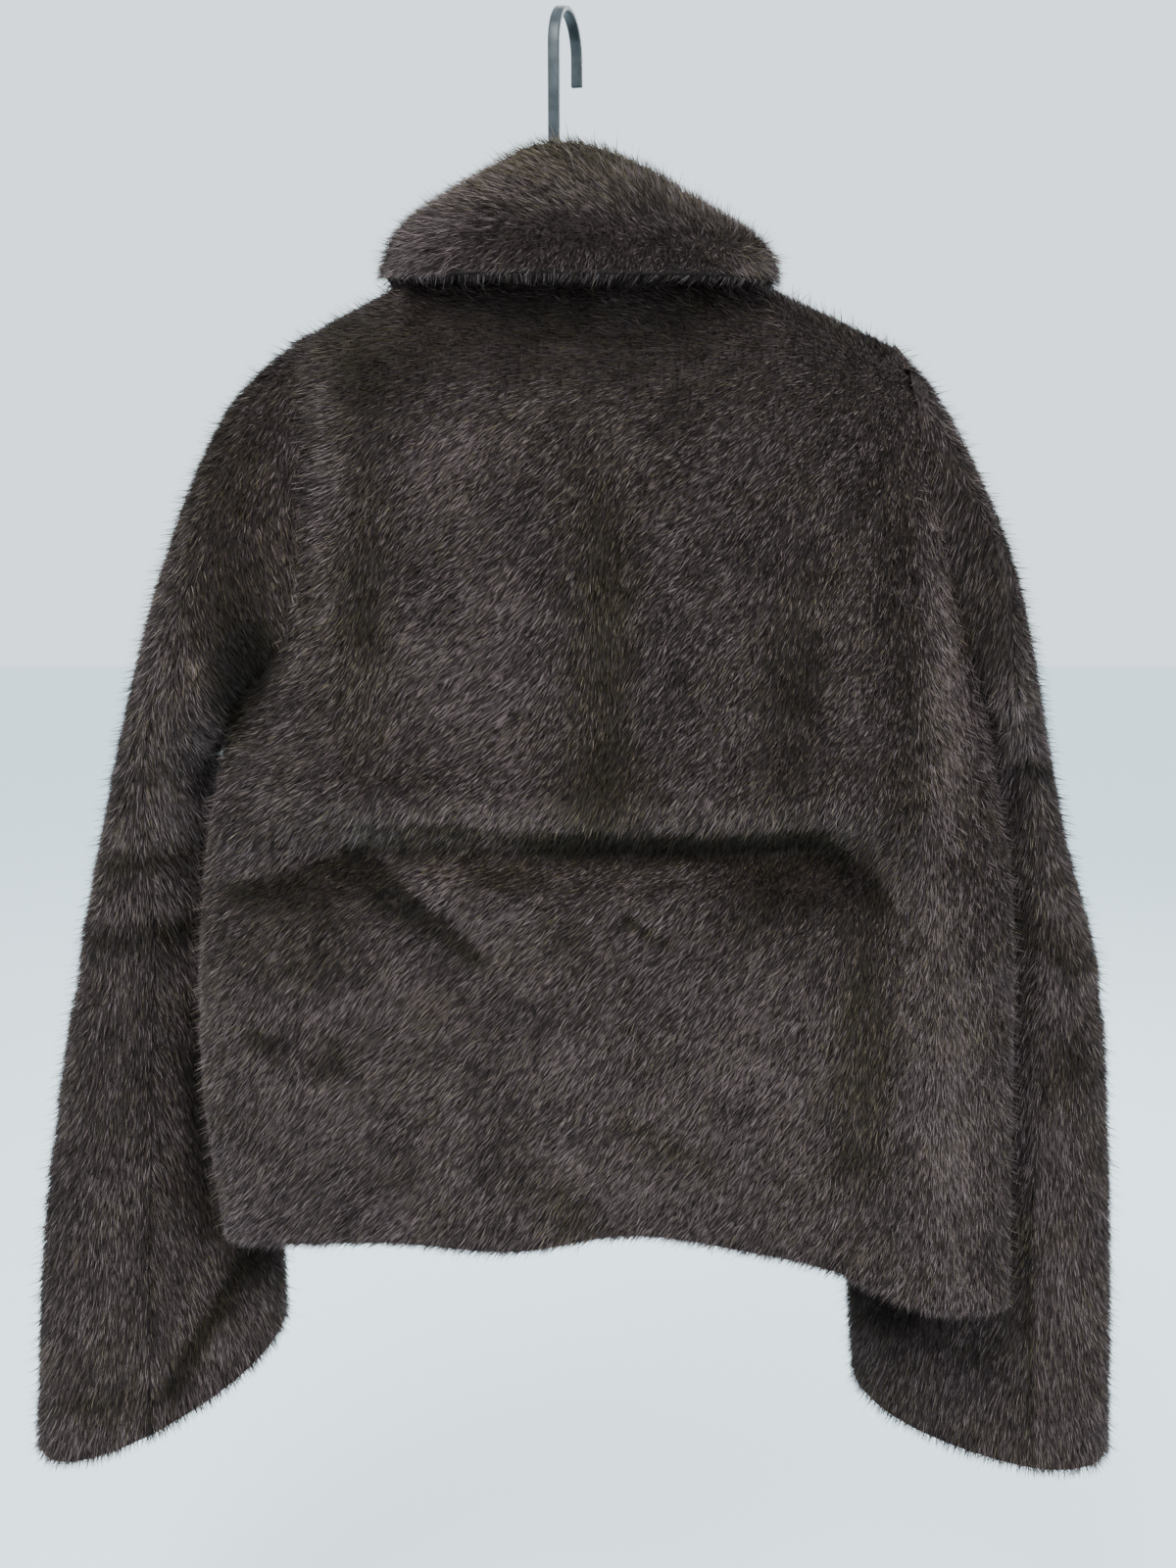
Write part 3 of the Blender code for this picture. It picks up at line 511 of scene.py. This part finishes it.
def hair_roots(piece, count, rng, pile_sides, behind):
    """Random places over the pile side and under the hem and cuffs, with the normal at each.

    behind is the share of hairs that is kept on faces turned to the front, +Y.
    """
    points, corners, side = read_mesh(piece)
    squares = squares_of(points, corners)
    level = points[corners].mean(axis=1)[:, 2]
    turned_under = (side == CUT_EDGE) & (unit(squares)[:, 2] < FACES_DOWN) & (level < HEM_LEVEL)
    weight = np.linalg.norm(squares, axis=1) * (np.isin(side, pile_sides) | turned_under)
    weight *= np.where(squares[:, 1] > 0, behind, 1.0)
    chosen = rng.choice(len(corners), count, p=weight / weight.sum())
    a, b = rng.random(count), rng.random(count)
    a, b = np.where(a + b > 1, 1 - a, a), np.where(a + b > 1, 1 - b, b)
    share = np.stack([1 - a - b, a, b], axis=1)[:, :, None]
    picked = corners[chosen]
    roots = (points[picked] * share).sum(axis=1)
    normals = np.zeros_like(roots)
    for which in (PILE_SIDE, INNER_SIDE, CUT_EDGE):
        here = side[chosen] == which
        found = normals_of(points, corners[side == which])
        normals[here] = (found[picked[here]] * share[here]).sum(axis=1)
    return roots, unit(normals)


# A place on the cloth turns the nap by some degrees, changes the pile's tone, browns it or calms its
# texture, over an oval that fades out. Its tone is partly painted shade in hollows and folds, partly
# painted light on crests.
PLACE_COLUMNS = "x z reach_x reach_z turn tone olive calm"
PLACE_CONTRAST = 1.5
MILLIMETRE = 0.001
CREASE_PAINTED_SHADE = 0.075  # painted shade: how much each millimetre of a crease's depth darkens the pile; a swelling ridge is painted paler
CREASE_PAINTED_SHADE_LIMITS = (-0.10, 0.36)
CREASE_SHADE_OLIVE = 0.14  # and how much that painted shade browns it
CREASE_SHADE_OLIVE_LIMITS = (0.0, 0.6)
OLIVE_SHARE = 0.13
NAP_SPREAD = 8.0  # in degrees
TONE_SPREAD = 0.16
PAINTED_GLINT = 0.45  # a painted highlight: how much paler a glinting hair is painted
LEAST_LIVELY = 0.2


def fan(angle):
    """Nap directions that lie so many degrees from straight down towards the left, -X."""
    turn = np.radians(angle)
    return np.stack([-np.sin(turn), np.zeros_like(turn), -np.cos(turn)], axis=1)


def brushed(roots, normals, rng, lean, places, creases, texture, painted_glints):
    """How the pile is brushed: each hair's nap direction, its tone with painted shade and painted light,
    and how likely it is to be olive.
    """
    angle = np.full(len(roots), float(lean))
    olive = OLIVE_SHARE + cloud("browned", roots)
    tone_and_painted_light = cloud("paler", roots) + cloud("mottled", roots)
    calm = np.zeros(len(roots))
    # A place's tone paints shade into hollows and folds and light onto crests, and elsewhere varies the
    # pile's own tone
    for x, z, reach_x, reach_z, turn, light, brown, still in zip(*places.values()):
        near = np.exp(-(((roots[:, 0] - x) / reach_x) ** 2) - ((roots[:, 2] - z) / reach_z) ** 2)
        angle += turn * near
        tone_and_painted_light += PLACE_CONTRAST * light * near
        olive += brown * near
        calm += still * near
    # Painted shade in the creases, darker and browner the deeper they are, and painted light on the ridges
    # that swell above them
    depth = crease_depth(roots, -normals[:, 1], creases) / MILLIMETRE
    tone_and_painted_light -= np.clip(depth * CREASE_PAINTED_SHADE, *CREASE_PAINTED_SHADE_LIMITS)
    olive += np.clip(depth * CREASE_SHADE_OLIVE, *CREASE_SHADE_OLIVE_LIMITS)
    lively = texture * np.clip(1.0 - calm, LEAST_LIVELY, 1.0)
    angle += cloud("turned", roots) + lively * cloud("swirled", roots)
    angle += rng.normal(0.0, NAP_SPREAD, len(roots)) * lively
    spread = cloud("speckled", roots) + rng.normal(0.0, TONE_SPREAD, len(roots))
    # Some hairs are painted paler: a painted glint
    spread += PAINTED_GLINT * (rng.random(len(roots)) < painted_glints)
    return fan(angle), tone_and_painted_light + lively * spread, olive


STRAY_SHARE = 0.06  # hairs that stand up out of the nap and blur the outline
STRAY_REACH = 1.5  # how much longer they are
STRAY_LIFT = 0.6  # and how much steeper they stand, in radians
LIFT_SPREAD = math.radians(7)
LIFT_LIMITS = (math.radians(8), math.radians(75))
ROLL_SPREAD = 0.85  # radians that a leaf is turned about its own length
LENGTHS = (0.72, 1.12)  # the shortest and the longest hairs against the coat's own length
WIDTHS = (0.7, 1.25)
ROOT_DEPTH = 0.0006  # how deep a hair's foot sits in the backing
TONE_LIMITS = (0.02, 0.98)


def stand_pile(name, roots, normals, nap, rng, coat, tone_and_painted_light, olive):
    """One narrow leaf for each hair: it leans along the nap and stands a little off the backing."""
    count = len(roots)
    flat = unit(nap - normals * np.sum(nap * normals, axis=1, keepdims=True))
    raised = math.radians(coat["lift"]) * (1 + cloud("tufted", roots))
    raised += rng.normal(0.0, LIFT_SPREAD, count)
    stray = rng.random(count) < STRAY_SHARE
    raised = np.clip(raised + STRAY_LIFT * stray, *LIFT_LIMITS)[:, None]
    along = flat * np.cos(raised) + normals * np.sin(raised)
    sideways = unit(np.cross(along, normals))
    upright = np.cross(sideways, along)
    roll = rng.normal(0.0, ROLL_SPREAD, count)[:, None]
    sideways = sideways * np.cos(roll) + upright * np.sin(roll)
    reach = coat["length"] * rng.uniform(*LENGTHS, count) * np.where(stray, STRAY_REACH, 1.0)
    half = coat["width"] / SHARE**0.5 * rng.uniform(*WIDTHS, count) / 2
    foot = roots - normals * ROOT_DEPTH
    beside = sideways * half[:, None]
    corners = np.stack([foot - beside, foot + beside, foot + along * reach[:, None]], axis=1)
    facing = np.cross(corners[:, 1] - corners[:, 0], corners[:, 2] - corners[:, 0])
    wrong = np.sum(facing * normals, axis=1) < 0
    corners[wrong, :2] = corners[wrong, 1::-1]
    mesh = bpy.data.meshes.new(name)
    mesh.vertices.add(3 * count)
    mesh.vertices.foreach_set("co", corners.ravel())
    mesh.loops.add(3 * count)
    mesh.loops.foreach_set("vertex_index", np.arange(3 * count, dtype=np.int32))
    mesh.polygons.add(count)
    mesh.polygons.foreach_set("loop_start", np.arange(0, 3 * count, 3, dtype=np.int32))
    mesh.update(calc_edges=True)
    tone_and_painted_light = np.clip(tone_and_painted_light, *TONE_LIMITS)
    is_olive = rng.random(count) < olive
    across = np.where(is_olive, OLIVE_START + OLIVE_SPAN * tone_and_painted_light, GREY_SPAN * tone_and_painted_light)
    uvs = np.empty((count, 3, 2))
    uvs[:, :, 0] = across[:, None] + np.array((-ROOT_HALF_U, ROOT_HALF_U, 0.0))
    uvs[:, :, 1] = (ROOT_V, ROOT_V, TIP_V)
    mesh.uv_layers.new(name="OFBake").data.foreach_set("uv", uvs.ravel())
    mesh.materials.append(hair_paint)
    pile = bpy.data.objects.new(name, mesh)
    bpy.context.scene.collection.objects.link(pile)
    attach(pile, "root")
    return pile


def grow_pile(piece, name, seed, coat, lean, places, creases):
    """Stands a coat of pile on a piece, brushed so many degrees from straight down."""
    rng = np.random.default_rng(seed)
    roots, normals = hair_roots(piece, round(coat["count"] * SHARE), rng, coat["sides"], coat["behind"])
    nap, tone_and_painted_light, olive = brushed(roots, normals, rng, lean, places, creases, coat["texture"], coat["painted_glints"])
    return stand_pile(name, roots, normals, nap, rng, coat, coat["lightness"] + tone_and_painted_light, olive)


def lay_backing(node, levels, creases):
    """Turns a cut piece's wall into its knitted backing."""
    piece = copy_of_wall(node, node + "_backing", levels)
    set_in(piece, creases)
    piece.data.materials.append(knit)
    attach(piece, "root")
    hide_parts(node)
    return piece


BACK_CREASES = table(
    CREASE_COLUMNS,
    (-0.100, -0.4115, -0.056, -0.4090, 0.0034, 0.0042, 0.60, 1),
    (-0.050, -0.4110, -0.014, -0.4150, 0.0024, 0.0042, 0.60, 1),
    (-0.005, -0.4170, 0.065, -0.4190, 0.0075, 0.0066, 0.60, 1),
    (0.070, -0.4180, 0.132, -0.4165, 0.0062, 0.0060, 0.60, 1),
    (-0.172, -0.4490, -0.108, -0.4320, 0.0042, 0.0062, 0.50, 1),
    (-0.103, -0.4350, -0.078, -0.4520, 0.0100, 0.0090, 0.50, 1),
    (-0.076, -0.4540, -0.047, -0.4750, 0.0076, 0.0052, 0.60, 1),
    (0.135, -0.4190, 0.166, -0.4480, 0.0080, 0.0058, 0.50, 1),
    (0.036, -0.4590, 0.053, -0.4700, 0.0055, 0.0030, 0.60, 1),
    (-0.152, -0.3050, -0.172, -0.3600, 0.0045, 0.0080, 0.00, 1),
    (0.032, -0.570, 0.081, -0.598, 0.0026, 0.0080, 0.30, 1),
    (-0.017, -0.165, 0.055, -0.165, 0.0012, 0.0028, 0.30, 1),
    (0.157, -0.480, 0.166, -0.590, 0.0014, 0.0150, 0.40, 1),
    (0.168, -0.240, 0.181, -0.400, 0.0018, 0.0130, 0.60, 1),
    (-0.128, -0.200, -0.130, -0.300, 0.0012, 0.0050, 0.50, 1),
    (-0.020, -0.605, 0.020, -0.632, 0.0018, 0.0110, 0.30, 1),
)
# Its darker rows are mostly painted shade, in the waist fold and beside the sleeves; its paler rows are
# mostly painted light on the crests at the right
BACK_PLACES = table(
    PLACE_COLUMNS,
    (0.011, -0.166, 0.150, 0.034, 33, -0.02, 0.20, 0.75),
    (-0.102, -0.183, 0.020, 0.030, 0, -0.07, 0.40, 0.30),
    (-0.121, -0.235, 0.014, 0.060, 22, 0.09, -0.10, 0.00),
    (-0.168, -0.372, 0.012, 0.030, 20, -0.06, 0.00, 0.00),
    (0.020, -0.560, 0.250, 0.090, 0, 0.08, 0.00, 0.00),
    (-0.020, -0.397, 0.110, 0.012, 0, 0.05, 0.00, 0.00),
    (-0.101, -0.300, 0.016, 0.080, -40, -0.09, 0.45, 0.20),
    (-0.056, -0.216, 0.026, 0.018, -5, 0.12, 0.00, 0.00),
    (-0.048, -0.318, 0.035, 0.075, 0, 0.05, 0.00, 0.00),
    (0.019, -0.315, 0.018, 0.085, -38, -0.10, 0.55, 0.30),
    (0.018, -0.393, 0.028, 0.020, -10, -0.12, 0.50, 0.40),
    (0.118, -0.333, 0.017, 0.061, -25, -0.10, 0.40, 0.20),
    (0.195, -0.345, 0.013, 0.120, -45, 0.10, 0.00, 0.00),
    (-0.145, -0.453, 0.040, 0.012, 0, -0.16, 0.30, 0.30),
    (-0.142, -0.484, 0.035, 0.018, 0, -0.08, 0.30, 0.20),
    (-0.062, -0.437, 0.030, 0.008, 10, 0.10, 0.00, 0.00),
    (-0.074, -0.423, 0.026, 0.009, 0, -0.12, 0.50, 0.40),
    (0.057, -0.422, 0.080, 0.008, 0, -0.20, 0.60, 0.50),
    (0.156, -0.438, 0.014, 0.012, 0, -0.20, 0.30, 0.40),
    (-0.157, -0.322, 0.011, 0.026, 10, -0.26, 0.10, 0.40),
    (-0.029, -0.436, 0.023, 0.009, 0, -0.10, 0.50, 0.30),
    (-0.009, -0.461, 0.035, 0.016, 10, 0.07, 0.00, 0.00),
    (0.116, -0.442, 0.032, 0.020, -10, -0.14, 0.40, 0.30),
    (0.003, -0.466, 0.014, 0.013, 0, -0.12, 0.20, 0.20),
    (0.159, -0.535, 0.014, 0.085, -20, -0.07, 0.35, 0.20),
    (0.115, -0.540, 0.028, 0.050, 0, 0.05, 0.00, 0.00),
    (0.212, -0.573, 0.016, 0.100, -45, 0.12, 0.00, 0.00),
    (-0.157, -0.531, 0.013, 0.010, 0, -0.26, 0.10, 0.20),
    (-0.121, -0.537, 0.013, 0.012, 0, -0.20, 0.30, 0.20),
    (-0.041, -0.598, 0.010, 0.015, 0, -0.12, 0.00, 0.20),
    (-0.170, -0.560, 0.040, 0.090, -25, 0.00, 0.00, 0.00),
)
BACK_LEAN = 47.0
UNDERFUR = {
    "count": 180000,
    "width": 0.00047,
    "length": 0.0072,
    "lift": 26,
    "lightness": 0.38,
    "texture": 1.0,
    "painted_glints": 0.10,
    "sides": (PILE_SIDE,),
    "behind": 1.0,
}
GUARD_HAIR = UNDERFUR | {
    "width": 0.00039,
    "length": 0.0066,
    "lift": 33,
    "lightness": 0.50,
    "painted_glints": 0.38,
}

back = lay_backing("back", 2, BACK_CREASES)
back_pieces = [
    grow_pile(back, "back_underfur", 21, UNDERFUR, BACK_LEAN, BACK_PLACES, BACK_CREASES),
    grow_pile(back, "back_guard_hair", 22, GUARD_HAIR, BACK_LEAN, BACK_PLACES, BACK_CREASES),
]

# ---------------------------------------------------------------- the two fronts
# Plain halves of the same plush that hang just clear of each other. Their pile is brushed nearly
# straight down, and they crease a little where the back does.

FRONT_CREASES = table(
    CREASE_COLUMNS,
    (-0.150, -0.425, -0.030, -0.436, 0.0022, 0.0100, 0.50, -1),
    (0.040, -0.432, 0.200, -0.420, 0.0022, 0.0100, 0.50, -1),
    (-0.110, -0.460, -0.060, -0.520, 0.0020, 0.0110, 0.40, -1),
    (0.100, -0.450, 0.160, -0.510, 0.0020, 0.0110, 0.40, -1),
    (-0.125, -0.250, -0.090, -0.330, 0.0018, 0.0120, 0.40, -1),
    (0.160, -0.250, 0.125, -0.330, 0.0018, 0.0120, 0.40, -1),
)
FRONT_PLACES = table(
    PLACE_COLUMNS,
    (-0.100, -0.300, 0.030, 0.080, 20, -0.08, 0.40, 0.20),
    (0.150, -0.300, 0.030, 0.080, -20, -0.08, 0.40, 0.20),
    (0.020, -0.440, 0.160, 0.014, 0, -0.12, 0.40, 0.30),
    (-0.060, -0.560, 0.050, 0.050, 0, 0.06, 0.00, 0.00),
    (0.120, -0.540, 0.050, 0.050, 0, 0.06, 0.00, 0.00),
)
FRONT_COAT = {
    "count": 42000,
    "width": 0.00064,
    "length": 0.0105,
    "lift": 28,
    "lightness": 0.46,
    "texture": 0.9,
    "painted_glints": 0.2,
    "sides": (PILE_SIDE,),
    "behind": 1.0,
}
for node, seed, lean in (("front_left", 31, 8.0), ("front_right", 32, -8.0)):
    front = lay_backing(node, 1, FRONT_CREASES)
    pile = grow_pile(front, node + "_pile", seed, FRONT_COAT, lean, FRONT_PLACES, FRONT_CREASES)

# ---------------------------------------------------------------- the four sleeve pieces
# Each sleeve is an upper and an under piece, sewn along the inside and down the back of the arm.
# They hang nearly straight, creased at the elbow and pushed into folds over the cuff.

SLEEVE_CREASES = table(
    CREASE_COLUMNS,
    (-0.249, -0.438, -0.209, -0.436, 0.0030, 0.0065, 0.50, 1),
    (-0.254, -0.483, -0.210, -0.479, 0.0030, 0.0075, 0.50, 1),
    (-0.235, -0.757, -0.197, -0.693, 0.0050, 0.0065, 0.60, 1),
    (-0.215, -0.655, -0.180, -0.690, 0.0028, 0.0110, 0.40, 1),
    (-0.300, -0.770, -0.262, -0.764, 0.0016, 0.0100, 0.40, 1),
    (-0.196, -0.355, -0.200, -0.405, -0.0085, 0.0180, 0.00, 0),
    (0.2350, -0.350, 0.2370, -0.385, -0.0060, 0.0070, 0.00, 0),
    (-0.160, -0.315, -0.176, -0.362, 0.0040, 0.0080, 0.30, 1),
    (-0.2420, -0.640, -0.2468, -0.790, 0.0016, 0.0024, 0.60, 1),
    (0.2724, -0.640, 0.2765, -0.817, 0.0016, 0.0024, 0.60, 1),
    (0.220, -0.380, 0.272, -0.391, 0.0045, 0.0048, 0.70, 1),
    (0.240, -0.478, 0.290, -0.500, 0.0026, 0.0110, 0.40, 1),
    (0.267, -0.505, 0.294, -0.545, -0.0030, 0.0080, 0.00, 1),
    (0.170, -0.740, 0.215, -0.700, 0.0030, 0.0120, 0.45, 1),
    (0.255, -0.640, 0.275, -0.720, 0.0018, 0.0140, 0.40, 1),
    (-0.300, -0.520, -0.215, -0.490, 0.0028, 0.0120, 0.45, -1),
    (-0.290, -0.600, -0.225, -0.630, 0.0022, 0.0130, 0.40, -1),
    (0.230, -0.500, 0.310, -0.530, 0.0028, 0.0120, 0.45, -1),
    (0.240, -0.640, 0.305, -0.610, 0.0022, 0.0130, 0.40, -1),
)
# The darkest rows are painted shade: in the armpit, between the sleeve and the body, and under the hem
# over the right cuff
SLEEVE_PLACES = table(
    PLACE_COLUMNS,
    (-0.172, -0.250, 0.022, 0.090, 0, -0.08, 0.30, 0.20),
    (-0.188, -0.375, 0.014, 0.030, -40, -0.10, 0.00, 0.00),
    (-0.170, -0.335, 0.016, 0.034, -20, -0.42, 0.10, 0.40),
    (-0.214, -0.590, 0.008, 0.048, 0, -0.45, 0.10, 0.40),
    (-0.262, -0.560, 0.020, 0.090, 0, 0.05, 0.00, 0.00),
    (-0.191, -0.680, 0.014, 0.022, 0, -0.25, 0.10, 0.30),
    (-0.215, -0.735, 0.022, 0.014, 20, 0.08, 0.00, 0.00),
    (0.225, -0.290, 0.018, 0.090, 0, -0.08, 0.10, 0.20),
    (0.252, -0.479, 0.012, 0.014, 0, -0.18, 0.30, 0.30),
    (0.294, -0.562, 0.014, 0.022, 0, -0.14, 0.20, 0.20),
    (0.199, -0.727, 0.022, 0.020, 0, -0.42, 0.10, 0.40),
    (0.285, -0.680, 0.020, 0.100, 0, 0.07, 0.00, 0.00),
)
SLEEVE_COAT = {
    "count": 76000,
    "width": 0.00047,
    "length": 0.0076,
    "lift": 32,
    "lightness": 0.47,
    "texture": 0.9,
    "painted_glints": 0.2,
    "sides": (PILE_SIDE,),
    "behind": 0.5,
}
for node, seed, lean, width, length, area in (
    ("sleeve_left_upper", 41, 6.0, 0.22, 0.66, 0.115),
    ("sleeve_left_under", 42, -14.0, 0.18, 0.50, 0.080),
    ("sleeve_right_upper", 43, 4.0, 0.20, 0.67, 0.105),
    ("sleeve_right_under", 44, 12.0, 0.20, 0.52, 0.095),
):
    sleeve = lay_backing(node, 2, SLEEVE_CREASES)
    pile = grow_pile(sleeve, node + "_pile", seed, SLEEVE_COAT, lean, SLEEVE_PLACES, SLEEVE_CREASES)

# ---------------------------------------------------------------- the collar
# Stand and fall in one, plush on both sides, turned down over the back and the two fronts.
# Its pile fans out from the peak, and soft creases run across the fall.

COLLAR_CREASES = table(
    CREASE_COLUMNS,
    (-0.070, -0.107, -0.010, -0.104, 0.0016, 0.0048, 0.70, 1),
    (0.010, -0.105, 0.070, -0.103, 0.0012, 0.0055, 0.70, 1),
    (-0.050, -0.092, 0.010, -0.090, 0.0008, 0.0045, 0.70, 1),
    (0.096, -0.1280, 0.110, -0.1340, -0.0028, 0.0120, 0.00, 0),
)
# The paler row over the top is painted light from above, and the darker rows low on the fall are painted
# shade
COLLAR_PLACES = table(
    PLACE_COLUMNS,
    (-0.070, -0.090, 0.040, 0.050, -24, 0.00, 0.00, 0.00),
    (0.078, -0.090, 0.042, 0.050, 26, 0.00, 0.10, 0.00),
    (0.000, -0.132, 0.110, 0.013, -70, 0.00, 0.00, 0.00),
    (0.095, -0.122, 0.030, 0.020, -50, 0.00, 0.00, 0.00),
    (0.005, -0.075, 0.080, 0.022, 0, 0.08, 0.55, 0.30),
    (-0.005, -0.119, 0.035, 0.010, 0, -0.10, -0.20, 0.40),
    (-0.058, -0.113, 0.022, 0.012, -20, 0.12, -0.20, 0.00),
    (0.015, -0.098, 0.060, 0.014, 0, 0.07, -0.10, 0.00),
    (0.020, -0.122, 0.075, 0.011, 0, -0.07, -0.10, 0.20),
    (0.090, -0.118, 0.020, 0.012, 0, 0.06, 0.20, 0.00),
)
COLLAR_COAT = {
    "count": 96000,
    "width": 0.00039,
    "length": 0.0076,
    "lift": 42,
    "lightness": 0.52,
    "texture": 1.2,
    "painted_glints": 0.2,
    "sides": (PILE_SIDE, INNER_SIDE),
    "behind": 0.6,
}
collar = lay_backing("collar", 1, COLLAR_CREASES)
pile = grow_pile(collar, "collar_pile", 61, COLLAR_COAT, 88.0, COLLAR_PLACES, COLLAR_CREASES)

# ---------------------------------------------------------------- the hanger
# The hook is a flat steel bar with softened edges, bent cold and coated dark slate. The round
# arms inside the shoulders have the same coating, a little uneven in colour and gloss.


def coating_material():
    """Dark slate coating over steel, a little uneven in colour and gloss."""
    made, tree, shader = new_material("dark_slate_coating")
    shader.inputs["Metallic"].default_value = 0.55
    place = tree.nodes.new("ShaderNodeTexCoord")
    noise = tree.nodes.new("ShaderNodeTexNoise")
    noise.inputs["Scale"].default_value = 160.0
    noise.inputs["Detail"].default_value = 4.0
    colour = tree.nodes.new("ShaderNodeValToRGB")
    fill_ramp(colour, (0.30, 0.020, 0.026, 0.030), (0.75, 0.046, 0.055, 0.061))
    gloss = tree.nodes.new("ShaderNodeMapRange")
    gloss.inputs["To Min"].default_value = 0.34
    gloss.inputs["To Max"].default_value = 0.52
    bump = tree.nodes.new("ShaderNodeBump")
    bump.inputs["Strength"].default_value = 0.15
    bump.inputs["Distance"].default_value = 0.0002
    join = tree.links.new
    join(place.outputs["Object"], noise.inputs["Vector"])
    join(noise.outputs["Fac"], colour.inputs["Fac"])
    join(colour.outputs["Color"], shader.inputs["Base Color"])
    join(noise.outputs["Fac"], gloss.inputs["Value"])
    join(gloss.outputs["Result"], shader.inputs["Roughness"])
    join(noise.outputs["Fac"], bump.inputs["Height"])
    join(bump.outputs["Normal"], shader.inputs["Normal"])
    return made


HOOK_EDGE_RADIUS = 0.0007
SHARP_BAR_EDGE = math.radians(50)
SMOOTH_BAR_EDGE = math.radians(40)

coating = coating_material()
hook = copy_of_solid("hanger_hook", "hanger_hook_bar")
softened = hook.modifiers.new("softened_edges", "BEVEL")
softened.width = HOOK_EDGE_RADIUS
softened.segments = 3
softened.limit_method = "ANGLE"
softened.angle_limit = SHARP_BAR_EDGE
bpy.ops.object.modifier_apply(modifier="softened_edges")
bpy.ops.object.shade_smooth_by_angle(angle=SMOOTH_BAR_EDGE)

arms = copy_of_solid("hanger_arms", "hanger_arms_bar")
bpy.ops.object.shade_smooth_by_angle(angle=SMOOTH_BAR_EDGE)

for bar, node in ((hook, "hanger_hook"), (arms, "hanger_arms")):
    bar.data.materials.append(coating)
    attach(bar, "root")
    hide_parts(node)
